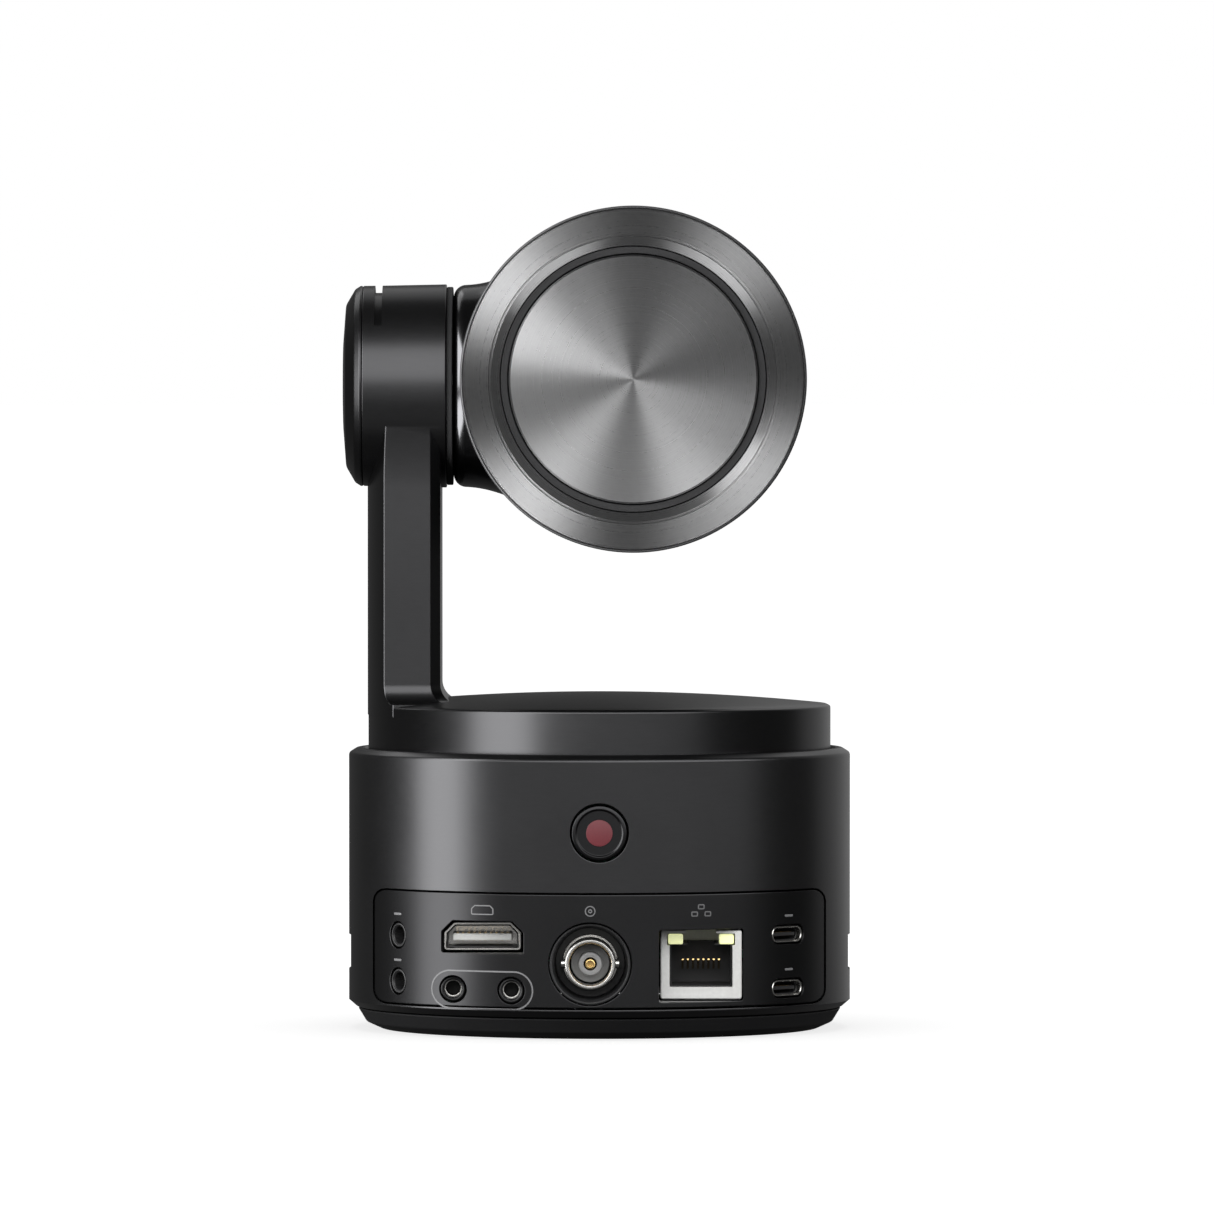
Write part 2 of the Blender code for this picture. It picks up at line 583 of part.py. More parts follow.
def make_roll_motor(finishes, tilt, roll, along):
    bell = [
        (4.2 * MM, -23.0 * MM), (6.2 * MM, -23.0 * MM), (6.2 * MM, -13.6 * MM), (17.5 * MM, -13.6 * MM),
        (17.5 * MM, -22.4 * MM), (19.2 * MM, -22.4 * MM), (19.2 * MM, -11.8 * MM), (4.2 * MM, -11.8 * MM),
    ]
    add("roll_rotor", turned(bell, 20), finishes["steel"], roll, along)
    make_stator("roll_stator", finishes["copper"], 11.3 * MM, 13.0 * MM, 17.0 * MM, 9,
                (-22.4 * MM, -14.4 * MM), along, tilt)
    make_bearing("roll", finishes["steel"], (6.5 * MM, 7.2 * MM, 7.7 * MM, 8.6 * MM),
                 (-22.6 * MM, -20.0 * MM), along, (tilt, roll))


# ---------------------------------------------------------------- turntable and arm


def arm_section(height, flare):
    """The arm's cross-section, round outside and chamfered inside, widened by flare."""
    half = ARM_HALF_WIDTH + flare
    reach = math.degrees(math.asin(half / ARM_RADIUS))
    steps = 8
    section = []
    for step in range(steps + 1):
        turn = math.radians(180 - reach + 2 * reach * step / steps)
        section.append((ARM_RADIUS * math.cos(turn), ARM_RADIUS * math.sin(turn), height))
    inner = -ARM_INNER + flare
    section += [
        (inner - ARM_CHAMFER, -half, height), (inner, -half + ARM_CHAMFER, height),
        (inner, half - ARM_CHAMFER, height), (inner - ARM_CHAMFER, half, height),
    ]
    return section


def arm_sections():
    """From inside the turntable, up through the fillet at its foot, into the tilt housing."""
    foot = TABLE_EDGE + 0.6 * MM
    steps = 4
    sections = [arm_section(TABLE_CEILING + 1 * MM, ARM_FILLET)]
    for step in range(steps + 1):
        turn = math.radians(90 * step / steps)
        flare = ARM_FILLET * (1 - math.sin(turn))
        sections.append(arm_section(foot + ARM_FILLET * (1 - math.cos(turn)), flare))
    sections.append(arm_section(TILT_HEIGHT - 1 * MM, 0))
    return sections


def make_yoke(finishes, pan):
    """One casting: the turntable with its shallow dome, the arm, and the housing of the tilt motor."""
    dome_radius = 45.4 * MM
    dome = []
    for share in (0, 0.35, 0.65, 0.88, 1):
        drop = (TABLE_TOP - TABLE_EDGE - 0.2 * MM) * share**2
        dome.append((dome_radius * share, TABLE_TOP - drop))
    yoke = add("yoke", turned(dome + [
        (46.0 * MM, TABLE_EDGE - 0.1 * MM), (TABLE_RADIUS, TABLE_EDGE - 0.5 * MM),
        (TABLE_RADIUS, TABLE_BOTTOM), (43.5 * MM, TABLE_BOTTOM), (43.5 * MM, TABLE_CEILING),
        (0, TABLE_CEILING),
    ], LARGE), finishes["dark_metal"], pan)
    shape(yoke, "UNION", loft(arm_sections()))
    along = at(0, 0, TILT_HEIGHT) @ ALONG_X
    housing = [
        (0, HOUSING_LEFT), (HOUSING_RADIUS, HOUSING_LEFT), (HOUSING_RADIUS + GAP, HOUSING_RIGHT),
        (0, HOUSING_RIGHT),
    ]
    shape(yoke, "UNION", turned(housing, 32), along)
    channel = block((-42.0 * MM, -5 * MM, TABLE_CEILING - 2 * MM), (-37.0 * MM, 5 * MM, 115 * MM))
    shape(yoke, "DIFFERENCE", channel)
    slot_half_angle = 53
    slot = [(18.6 * MM, -44.8 * MM), (22 * MM, -44.8 * MM), (22 * MM, -43.3 * MM), (18.6 * MM, -43.3 * MM)]
    start = Matrix.Rotation(math.radians(180 - slot_half_angle), 4, "Z")
    shape(yoke, "DIFFERENCE", turned(slot, 18, 2 * slot_half_angle), along @ start)
    boss = 11.0 * MM
    boss_end = -43.5 * MM
    shaft_bore = 8.9 * MM
    hollow = [
        (0, HOUSING_LEFT - 1 * MM), (HOUSING_BORE, HOUSING_LEFT - 1 * MM), (HOUSING_BORE, WEB_LEFT),
        (boss, WEB_LEFT), (boss, boss_end), (shaft_bore, boss_end),
        (shaft_bore, HOUSING_RIGHT + 1 * MM), (0, HOUSING_RIGHT + 1 * MM),
    ]
    shape(yoke, "DIFFERENCE", turned(hollow, MIDDLE), along)


def make_arm_pieces(finishes, pan):
    """What the arm carries: the cap and the seal of the tilt housing, and the ribbon cable inside."""
    along = at(0, 0, TILT_HEIGHT) @ ALONG_X
    cap = [
        (0, -51.3 * MM), (9 * MM, -51.15 * MM), (16.7 * MM, -50.5 * MM), (19.2 * MM, -48.9 * MM),
        (HOUSING_RADIUS, -47.9 * MM), (HOUSING_RADIUS, HOUSING_LEFT - GAP),
        (HOUSING_BORE - GAP, HOUSING_LEFT - GAP), (HOUSING_BORE - GAP, -46.4 * MM),
        (15.8 * MM, -46.4 * MM), (15.8 * MM, -48.6 * MM), (0, -48.6 * MM),
    ]
    add("tilt_end_cap", turned(cap, 32), finishes["dark_metal"], pan, along)
    seal = [
        (20.5 * MM, -30.2 * MM), (20.5 * MM, -29.3 * MM), (14 * MM, -29.3 * MM), (14 * MM, -30.2 * MM),
    ]
    add("tilt_seal_ring", turned(seal, 32), finishes["black_plastic"], pan, along)
    cable = block((-39.8 * MM, -3.5 * MM, 55 * MM), (-39.2 * MM, 3.5 * MM, 111 * MM))
    add("arm_ribbon_cable", cable, finishes["copper"], pan)


# ---------------------------------------------------------------- head


def make_head_frame(finishes, tilt, along):
    """Neck and drum in one casting, with the boss of the roll motor on the drum's back wall."""
    head = add("head_housing", turned([
        (0, DRUM_BACK), (HEAD_RADIUS - 1 * MM, DRUM_BACK), (HEAD_RADIUS, DRUM_BACK + 1 * MM),
        (HEAD_RADIUS, DRUM_FRONT - 0.4 * MM), (HEAD_RADIUS - 0.4 * MM, DRUM_FRONT), (0, DRUM_FRONT),
    ], LARGE), finishes["dark_metal"], tilt, along)
    neck = [
        (0, NECK_LEFT), (20.1 * MM, NECK_LEFT), (20.8 * MM, -23.9 * MM), (22.2 * MM, -19.9 * MM),
        (23.6 * MM, -16.5 * MM), (24.2 * MM, -12 * MM), (0, -12 * MM),
    ]
    across = at(0, 0, TILT_HEIGHT) @ ALONG_X
    shape(head, "UNION", turned(neck, 32), across)
    back_wall = -23.6 * MM
    boss_end = -14.0 * MM
    boss = 11.0 * MM
    shaft_bore = 8.9 * MM
    hollow = [
        (0, DRUM_FRONT + 1 * MM), (DRUM_BORE, DRUM_FRONT + 1 * MM), (DRUM_BORE, back_wall),
        (boss, back_wall), (boss, boss_end), (shaft_bore, boss_end), (shaft_bore, back_wall),
        (0, back_wall),
    ]
    shape(head, "DIFFERENCE", turned(hollow[::-1], LARGE), along)
    shape(head, "DIFFERENCE", prism(circle(6.5 * MM, SMALL), -32 * MM, -18 * MM), across)
    ring = [
        (26.4 * MM, -28.6 * MM), (28.4 * MM, -30.0 * MM), (33.7 * MM, -30.0 * MM),
        (RING_RADIUS, -29.5 * MM), (RING_RADIUS, -26.3 * MM), (26.4 * MM, -26.3 * MM),
    ]
    add("rear_ring", turned(ring, LARGE), finishes["spun_metal"], tilt, along)
    disc = [
        (0, -29.6 * MM), (24.3 * MM, -29.6 * MM), (24.6 * MM, -29.3 * MM), (24.6 * MM, -26.3 * MM),
        (0, -26.3 * MM),
    ]
    add("rear_disc", turned(disc, LARGE), finishes["spun_metal"], tilt, along)


def lens(radius, edge_low, edge_high, bulge_low, bulge_high, facets):
    """A lens about local Z: an edge between two heights, and a curved face on each side."""
    profile = [(0, edge_low - bulge_low)]
    steps = 2
    for step in range(1, steps + 1):
        share = step / steps
        profile.append((radius * share, edge_low - bulge_low * (1 - share**2)))
    for step in range(steps, 0, -1):
        share = step / steps
        profile.append((radius * share, edge_high + bulge_high * (1 - share**2)))
    profile.append((0, edge_high + bulge_high))
    return turned(profile, facets)


def make_lens_module(finishes, roll, along):
    """The part that rolls: its housing, the front bezel and glass, and the lens barrel inside."""
    housing = [
        (4.6 * MM, -11.5 * MM), (DRUM_BORE - 0.6 * MM, -11.5 * MM),
        (DRUM_BORE - 0.6 * MM, DRUM_FRONT + 0.4 * MM), (HEAD_RADIUS - 0.4 * MM, DRUM_FRONT + 0.4 * MM),
        (HEAD_RADIUS, DRUM_FRONT + 0.8 * MM), (HEAD_RADIUS, 35.6 * MM), (33.0 * MM, 36.6 * MM),
        (31.9 * MM, 36.6 * MM), (31.9 * MM, 33.0 * MM), (28.6 * MM, 33.0 * MM), (28.6 * MM, -9.6 * MM),
        (4.6 * MM, -9.6 * MM),
    ]
    add("lens_housing", turned(housing, LARGE), finishes["dark_metal"], roll, along)
    bezel = [
        (31.6 * MM, 33.3 * MM), (31.6 * MM, 37.4 * MM), (30.6 * MM, 38.0 * MM), (28.6 * MM, 38.0 * MM),
        (20.4 * MM, 35.0 * MM), (20.4 * MM, 32.0 * MM), (25.0 * MM, 32.0 * MM), (25.0 * MM, 33.3 * MM),
    ]
    add("front_bezel", turned(bezel, LARGE), finishes["gloss_black"], roll, along)
    add("front_glass", lens(20.1 * MM, 31.4 * MM, 33.0 * MM, 0, 0.8 * MM, MIDDLE), finishes["glass"],
        roll, along)
    barrel = [
        (17.2 * MM, -6.2 * MM), (19.0 * MM, -6.2 * MM), (19.0 * MM, 27.0 * MM), (28.3 * MM, 27.0 * MM),
        (28.3 * MM, 28.6 * MM), (19.6 * MM, 28.6 * MM), (19.6 * MM, 30.8 * MM), (17.2 * MM, 30.8 * MM),
    ]
    add("lens_barrel", turned(barrel, MIDDLE), finishes["black_plastic"], roll, along)
    add("front_element", lens(16.9 * MM, 23.5 * MM, 26.0 * MM, 0.8 * MM, 2.8 * MM, SMALL),
        finishes["glass"], roll, along)
    for number, side in enumerate((-1, 1), 1):
        rod = prism(circle(0.9 * MM, TINY), -5.6 * MM, 21 * MM)
        add(f"guide_rod_{number}", rod, finishes["steel"], roll, along @ at(side * 14.6 * MM, 0, 0))
    board = block((-15 * MM, -13 * MM, -8.6 * MM), (15 * MM, 13 * MM, -7.4 * MM))
    add("sensor_board", board, finishes["circuit_board"], roll, along)
    chip = block((-8 * MM, -6.5 * MM, -7.1 * MM), (8 * MM, 6.5 * MM, -5.4 * MM))
    add("image_sensor", chip, finishes["gloss_black"], roll, along)


def make_lens_group(name, finishes, axis, along, middle, bulge):
    """A carriage that slides on the two rods, with its lens."""
    half = 1.5 * MM
    opening = 11.4 * MM
    ring = ring_prism(circle(16.7 * MM, SMALL), circle(opening, SMALL), middle - half, middle + half)
    carriage = add(f"{name}_carriage", ring, finishes["black_plastic"], axis, along)
    for side in (-1, 1):
        hole = prism(circle(1.2 * MM, TINY), middle - 5 * MM, middle + 5 * MM)
        shape(carriage, "DIFFERENCE", hole, along @ at(side * 14.6 * MM, 0, 0))
    glass = lens(opening - GAP, middle - 0.8 * MM, middle + 0.8 * MM, bulge, bulge, SMALL)
    add(f"{name}_lens", glass, finishes["glass"], axis, along)


# ---------------------------------------------------------------- the whole camera


def main():
    for old in list(bpy.data.objects):
        bpy.data.objects.remove(old, do_unlink=True)
    finishes = make_materials()
    optical = (OPTICAL_X, 0, OPTICAL_HEIGHT)
    pan = joint_axis("pan_axis", (0, 0, 0))
    tilt = joint_axis("tilt_axis", (0, 0, TILT_HEIGHT), pan)
    roll = joint_axis("roll_axis", optical, tilt)
    zoom = joint_axis("zoom_axis", optical, roll)
    focus = joint_axis("focus_axis", optical, roll)
    press = joint_axis("power_press_axis", (0, -BASE_RADIUS, BUTTON_HEIGHT))
    along = at(*optical) @ ALONG_Y

    make_foot(finishes)
    make_bottom(finishes)
    make_shell(finishes)
    make_panel(finishes)
    make_video_port(finishes)
    make_network_jack(finishes)
    make_coax(finishes)
    for label, (x, y) in zip(("left", "right"), CONTROL_JACKS):
        placing = facing_out((x, y, CONTROL_HEIGHT))
        make_jack(f"control_jack_{label}", finishes, placing, 4.0 * MM, 6 * MM)
    make_side_sockets(finishes)
    make_main_board(finishes)
    make_chassis(finishes)
    make_button(finishes, press)

    make_yoke(finishes, pan)
    make_arm_pieces(finishes, pan)
    make_pan_motor(finishes, pan)
    make_tilt_motor(finishes, pan, tilt)

    make_head_frame(finishes, tilt, along)
    make_roll_motor(finishes, tilt, roll, along)
    make_lens_module(finishes, roll, along)
    make_lens_group("zoom", finishes, zoom, along, 12 * MM, 1.2 * MM)
    make_lens_group("focus", finishes, focus, along, 2 * MM, 0.9 * MM)


main()
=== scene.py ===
"""The looks of a desk-top pan, tilt and roll camera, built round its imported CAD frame.

Metres, +Z up, origin on the pan axis at the surface the camera stands on. The lens looks along +Y
and the sockets face -Y. Sizes in the outlines are in millimetres and are scaled as they are drawn.
"""

import json
import math

import bmesh
import bpy
from mathutils import Matrix, Vector
from mathutils.geometry import delaunay_2d_cdt


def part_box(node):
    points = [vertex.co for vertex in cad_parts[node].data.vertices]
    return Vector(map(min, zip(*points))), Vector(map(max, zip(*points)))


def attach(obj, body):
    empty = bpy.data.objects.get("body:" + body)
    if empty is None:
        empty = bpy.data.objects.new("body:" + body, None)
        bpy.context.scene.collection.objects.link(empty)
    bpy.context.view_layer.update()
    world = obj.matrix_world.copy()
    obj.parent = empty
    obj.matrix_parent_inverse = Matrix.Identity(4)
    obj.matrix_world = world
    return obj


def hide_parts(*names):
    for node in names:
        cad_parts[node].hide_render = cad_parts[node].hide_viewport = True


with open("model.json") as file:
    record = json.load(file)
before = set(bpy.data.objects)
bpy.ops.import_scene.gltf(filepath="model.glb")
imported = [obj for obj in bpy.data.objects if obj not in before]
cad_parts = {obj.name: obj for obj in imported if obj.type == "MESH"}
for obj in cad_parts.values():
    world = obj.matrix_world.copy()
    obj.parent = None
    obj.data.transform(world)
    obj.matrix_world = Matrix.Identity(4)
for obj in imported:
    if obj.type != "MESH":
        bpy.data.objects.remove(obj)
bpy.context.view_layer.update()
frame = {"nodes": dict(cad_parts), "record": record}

MM = 0.001
SMOOTH_UNDER = math.radians(33)
# Facets round turned pieces, and steps in a small rounding
FINE = 224
HOUSING = 192
BARREL = 160
LENS = 128
MEDIUM = 96
SMALL = 48
ARC_STEPS = 4


def low_of(node):
    """The lowest corner of a CAD node, in millimetres."""
    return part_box(node)[0] / MM


def high_of(node):
    """The highest corner of a CAD node, in millimetres."""
    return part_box(node)[1] / MM


def middle_of(node):
    return (low_of(node) + high_of(node)) / 2


# Places and driving sizes, from the frame, in millimetres
BASE_RADIUS = high_of("base_shell").x
BASE_LOW = low_of("base_shell").z
BASE_TOP = high_of("base_shell").z
FOOT_TOP = high_of("foot_ring").z
PANEL_LOW = low_of("io_panel")
PANEL_HIGH = high_of("io_panel")
TABLE_RADIUS = high_of("yoke").x
TABLE_LOW = low_of("yoke").z
BUTTON = middle_of("power_button")
BUTTON_RADIUS = (high_of("power_button").x - low_of("power_button").x) / 2
VIDEO = middle_of("video_port")
NETWORK = middle_of("network_jack")
COAX = middle_of("coax_cup")
TILT_HEIGHT = middle_of("tilt_end_cap").z
OPTICAL = middle_of("rear_ring")
RING_RADIUS = (high_of("rear_ring").x - low_of("rear_ring").x) / 2


# ---------------- placing


def at(x, y, z):
    return Matrix.Translation((x, y, z))


# Local Z along world X, along world Y, and out of the sockets along world -Y
ALONG_X = Matrix.Rotation(math.radians(90), 4, "Y")
ALONG_Y = Matrix.Rotation(math.radians(-90), 4, "X")
OUTWARD = Matrix.Rotation(math.radians(90), 4, "X")

TILT_AXIS = at(0, 0, TILT_HEIGHT) @ ALONG_X
OPTICAL_AXIS = at(OPTICAL.x, 0, OPTICAL.z) @ ALONG_Y


def facing_out(x, y, z):
    """Local Z points out of a socket's mouth along -Y, and local Y points up."""
    return at(x, y, z) @ OUTWARD


def radial(degrees, radius, height):
    """Local Z points away from the pan axis, turned from -Y towards +X, and local Y points up."""
    return Matrix.Rotation(math.radians(degrees), 4, "Z") @ facing_out(0, -radius, height)


# ---------------- outlines


def rounded(corners, closed=True, steps=ARC_STEPS):
    """The outline through (x, y, rounding) corners, with each rounding drawn as an arc."""
    points = []
    count = len(corners)
    for index, (x, y, rounding) in enumerate(corners):
        here = Vector((x, y))
        if rounding == 0 or (not closed and index in (0, count - 1)):
            points.append((x, y))
            continue
        before = (Vector(corners[index - 1][:2]) - here).normalized()
        after = (Vector(corners[(index + 1) % count][:2]) - here).normalized()
        half = before.angle(after) / 2
        start = here + before * rounding / math.tan(half)
        centre = here + (before + after).normalized() * rounding / math.sin(half)
        turn = math.pi - 2 * half
        if before.cross(after) > 0:
            turn = -turn
        for step in range(steps + 1):
            angle = turn * step / steps
            arm = Matrix.Rotation(angle, 2) @ (start - centre)
            points.append(tuple(centre + arm))
    return points


def circle(radius, count=SMALL, middle=(0, 0)):
    turns = [2 * math.pi * step / count for step in range(count)]
    return [(middle[0] + radius * math.cos(t), middle[1] + radius * math.sin(t)) for t in turns]


def rectangle(width, height, rounding, middle=(0, 0), steps=ARC_STEPS):
    x, y = width / 2, height / 2
    corners = [(-x, -y, rounding), (x, -y, rounding), (x, y, rounding), (-x, y, rounding)]
    return [(px + middle[0], py + middle[1]) for px, py in rounded(corners, steps=steps)]


def video_mouth(width, height, chamfer, rounding, middle=(0, 0)):
    """A flat rectangle with its two upper corners cut away, as a video socket has."""
    x, y = width / 2, height / 2
    corners = [(-x, -y), (x, -y), (x, y - chamfer), (x - chamfer, y), (chamfer - x, y), (-x, y - chamfer)]
    outline = rounded([(*corner, rounding) for corner in corners])
    return [(px + middle[0], py + middle[1]) for px, py in outline]


def divided(outline, longest):
    """The closed outline with points added so that no stretch is longer than this."""
    points = []
    for index, (x, y) in enumerate(outline):
        next_x, next_y = outline[(index + 1) % len(outline)]
        pieces = max(1, math.ceil(math.hypot(next_x - x, next_y - y) / longest))
        for piece_index in range(pieces):
            share = piece_index / pieces
            points.append((x + (next_x - x) * share, y + (next_y - y) * share))
    return points


def grown(outline, distance):
    """The anticlockwise outline moved outwards by a distance."""
    if distance == 0:
        return list(outline)
    points = []
    for index, here in enumerate(outline):
        here = Vector(here)
        into = (here - Vector(outline[index - 1])).normalized()
        out = (Vector(outline[(index + 1) % len(outline)]) - here).normalized()
        first, second = Vector((into.y, -into.x)), Vector((out.y, -out.x))
        points.append(tuple(here + (first + second) * distance / (1 + first.dot(second))))
    return points


# ---------------- mesh tools


def bridge(bm, first, second):
    """Faces between two rings of as many points, either of which may be a single point."""
    count = max(len(first), len(second))
    for index in range(count if count > 1 else 0):
        following = (index + 1) % count
        corners = [first[index % len(first)], first[following % len(first)],
                   second[following % len(second)], second[index % len(second)]]
        bm.faces.new(list(dict.fromkeys(corners)))


def lofted(bm, rings, closed=False, capped=False):
    """Faces from each ring to the next, and over both ends or from the last ring to the first."""
    for first, second in zip(rings, rings[1:] + rings[:1] if closed else rings[1:]):
        bridge(bm, first, second)
    if capped:
        bm.faces.new(rings[0])
        bm.faces.new(rings[-1])


def tidied(bm):
    bmesh.ops.remove_doubles(bm, verts=bm.verts, dist=0.0005)
    bmesh.ops.recalc_face_normals(bm, faces=bm.faces)
    return bm


def lathe(profile, placing=Matrix.Identity(4), facets=FINE, closed=True):
    """A solid of revolution about local Z from (radius, height) points, closed or ending on the axis."""
    bm = bmesh.new()
    rings = []
    for radius, height in profile:
        outline = circle(radius, facets) if radius > 0 else [(0, 0)]
        rings.append([bm.verts.new(placing @ Vector((x, y, height))) for x, y in outline])
    lofted(bm, rings, closed)
    return tidied(bm)


def turned(corners, placing=Matrix.Identity(4), facets=FINE, closed=True):
    """A solid of revolution from (radius, height, rounding) corners."""
    return lathe(rounded(corners, closed), placing, facets, closed)


def drawn(outline, sections, placing=Matrix.Identity(4), closed=False):
    """A solid whose outline grows by each (growth, height) section, capped unless it closes on itself."""
    bm = bmesh.new()
    rings = []
    for growth, height in sections:
        ring = [placing @ Vector((x, y, height)) for x, y in grown(outline, growth)]
        rings.append([bm.verts.new(point) for point in ring])
    lofted(bm, rings, closed, capped=not closed)
    return tidied(bm)


def slab(outline, low, high, edge, placing=Matrix.Identity(4)):
    """A prism with its edges broken by a small chamfer."""
    return drawn(outline, [(-edge, low), (0, low + edge), (0, high - edge), (-edge, high)], placing)


def tube(outline, wall, back, front, lip, placing=Matrix.Identity(4)):
    """A sleeve of this wall inside the outline, with a rounded front lip."""
    return drawn(outline, [
        (0, back), (0, front - lip), (-0.3 * lip, front - 0.3 * lip), (-lip, front),
        (-wall + lip, front), (-wall + 0.3 * lip, front - 0.3 * lip), (-wall, front - lip), (-wall, back),
    ], placing, closed=True)


def joined(*parts):
    whole = parts[0]
    for part in parts[1:]:
        mesh = bpy.data.meshes.new("part")
        part.to_mesh(mesh)
        part.free()
        whole.from_mesh(mesh)
        bpy.data.meshes.remove(mesh)
    return whole


def combined(bm, tool, operation):
    """The exact union, intersection or difference of two solids."""
    objects = []
    for solid in (bm, tool):
        mesh = bpy.data.meshes.new("solid")
        solid.to_mesh(mesh)
        solid.free()
        holder = bpy.data.objects.new("solid", mesh)
        bpy.context.scene.collection.objects.link(holder)
        objects.append(holder)
    modifier = objects[0].modifiers.new("combine", "BOOLEAN")
    modifier.operation = operation
    modifier.solver = "EXACT"
    modifier.object = objects[1]
    depsgraph = bpy.context.evaluated_depsgraph_get()
    mesh = bpy.data.meshes.new_from_object(objects[0].evaluated_get(depsgraph))
    result = bmesh.new()
    result.from_mesh(mesh)
    used = [holder.data for holder in objects] + [mesh]
    for holder in objects:
        bpy.data.objects.remove(holder)
    for data in used:
        bpy.data.meshes.remove(data)
    return result


def round_off(mesh, radius):
    """Gives the triangles of a wall of this radius the normals of the true cylinder."""
    sagitta = 0.06 * MM
    normals = [(0, 0, 0)] * len(mesh.loops)
    for face in mesh.polygons:
        if abs(face.center.xy.length - radius) > sagitta:
            continue
        corners = [mesh.vertices[index].co for index in face.vertices]
        if any(abs(corner.xy.length - radius) > 0.3 * sagitta for corner in corners):
            continue
        for loop, corner in zip(face.loop_indices, corners):
            normals[loop] = (corner.x / radius, corner.y / radius, 0)
    mesh.normals_split_custom_set(normals)


def piece(name, bm, slot, body, replaces=(), finish=None, wall=None):
    """Adds a mesh, drawn in millimetres, that rides on a body and stands for CAD nodes.

    It takes its slot's finish unless it has its own. A wall's radius gives it a cylinder's shading.
    """
    bmesh.ops.scale(bm, vec=(MM, MM, MM), verts=bm.verts)
    mesh = bpy.data.meshes.new(name)
    bm.to_mesh(mesh)
    bm.free()
    mesh.polygons.foreach_set("use_smooth", [True] * len(mesh.polygons))
    mesh.set_sharp_from_angle(angle=SMOOTH_UNDER)
    mesh.materials.append(finish or FINISH[slot])
    made = bpy.data.objects.new(name, mesh)
    bpy.context.scene.collection.objects.link(made)
    if wall:
        round_off(mesh, wall * MM)
    else:
        weighted = made.modifiers.new("weighted_normals", "WEIGHTED_NORMAL")
        weighted.keep_sharp = True
        weighted.weight = 100
    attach(made, body)
    if replaces:
        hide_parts(*replaces)


# ---------------- materials


class Graph:
    """A material's nodes, added one at a time."""

    def __init__(self, name):
        self.material = bpy.data.materials.new(name)
        self.material.use_nodes = True
        self.tree = self.material.node_tree
        self.shader = self.tree.nodes["Principled BSDF"]

    def add(self, kind, inputs=(), **settings):
        node = self.tree.nodes.new(kind)
        for key, value in settings.items():
            setattr(node, key, value)
        for socket, value in dict(inputs).items():
            if isinstance(value, bpy.types.NodeSocket):
                self.tree.links.new(value, node.inputs[socket])
            else:
                node.inputs[socket].default_value = value
        return node

    def place(self, scale):
        """Object coordinates, stretched, so that the pattern stays with the piece."""
        coordinates = self.add("ShaderNodeTexCoord")
        return self.add("ShaderNodeMapping", {
            "Vector": coordinates.outputs["Object"], "Scale": scale,
        }).outputs["Vector"]

    def noise(self, scale, detail=3.0, stretch=(1, 1, 1)):
        return self.add("ShaderNodeTexNoise", {
            "Vector": self.place(stretch), "Scale": scale, "Detail": detail,
        }).outputs["Fac"]

    def spread(self, value, low, high):
        """A pattern's middle range, widened to run from low to high."""
        return self.add("ShaderNodeMapRange", {
            "Value": value, "From Min": 0.3, "From Max": 0.7, "To Min": low, "To Max": high,
        }).outputs["Result"]

    def tone(self, factor, dark, light):
        mixed = self.add("ShaderNodeMix", {"Factor": factor}, data_type="RGBA")
        mixed.inputs["A"].default_value = (*dark, 1)
        mixed.inputs["B"].default_value = (*light, 1)
        return mixed.outputs["Result"]

    def bump(self, height, distance, strength=1.0, under=None):
        inputs = {"Height": height, "Distance": distance, "Strength": strength}
        if under:
            inputs["Normal"] = under
        return self.add("ShaderNodeBump", inputs).outputs["Normal"]

    def link(self, output, socket):
        self.tree.links.new(output, self.shader.inputs[socket])

    def set(self, **values):
        for socket, value in values.items():
            self.shader.inputs[socket.replace("_", " ")].default_value = value


def shade(colour, factor):
    return tuple(channel * factor for channel in colour)


def grained(name, colour, roughness, metallic, grain, relief, contrast=0.12, streak=(1, 1, 1)):
    """Satin surface with fine grain of this size in millimetres, mottled tone and uneven gloss."""
    graph = Graph(name)
    fine = graph.noise(1 / (grain * MM), stretch=streak)
    broad = graph.noise(55, detail=4)
    mixed = graph.add("ShaderNodeMath", {0: fine, 1: broad}, operation="ADD").outputs[0]
    half = graph.add("ShaderNodeMath", {0: mixed, 1: 0.5}, operation="MULTIPLY").outputs[0]
    tone = graph.spread(half, 0, 1)
    graph.link(graph.tone(tone, shade(colour, 1 - contrast), shade(colour, 1 + contrast)), "Base Color")
    graph.link(graph.spread(half, roughness * 0.95, roughness * 1.05), "Roughness")
    graph.link(graph.bump(fine, relief * MM), "Normal")
    graph.set(Metallic=metallic)
    return graph


def make_shell_metal():
    """Dark grey anodised aluminium, turned, so that its finest lines run round the pan axis."""
    graph = grained("shell_metal", (0.048, 0.048, 0.0495), 0.3, 1.0, 0.35, 0.0005, 0.04, (0.12, 0.12, 1))
    graph.set(Specular_IOR_Level=0.5)
    return graph.material


def make_panel_finish():
    graph = grained("panel", (0.0285, 0.0285, 0.0295), 0.3, 1.0, 0.22, 0.001, 0.05)
    return graph.material


def make_rubber():
    graph = grained("rubber", (0.006, 0.006, 0.0063), 0.6, 0.0, 0.3, 0.012, 0.15)
    graph.set(Specular_IOR_Level=0.12)
    return graph.material


def make_black_plastic():
    graph = grained("black_plastic", (0.008, 0.008, 0.0085), 0.42, 0.0, 0.25, 0.006, 0.15)
    graph.set(Specular_IOR_Level=0.4)
    return graph.material


def make_gloss_black():
    graph = grained("gloss_black", (0.02, 0.02, 0.022), 0.16, 0.6, 1.2, 0.0006, 0.08)
    graph.set(Coat_Weight=0.4, Coat_Roughness=0.08)
    return graph.material


def make_polished():
    """The shell's metal, polished."""
    graph = grained("polished", (0.045, 0.045, 0.047), 0.19, 1.0, 1.2, 0.0005, 0.05)
    return graph.material


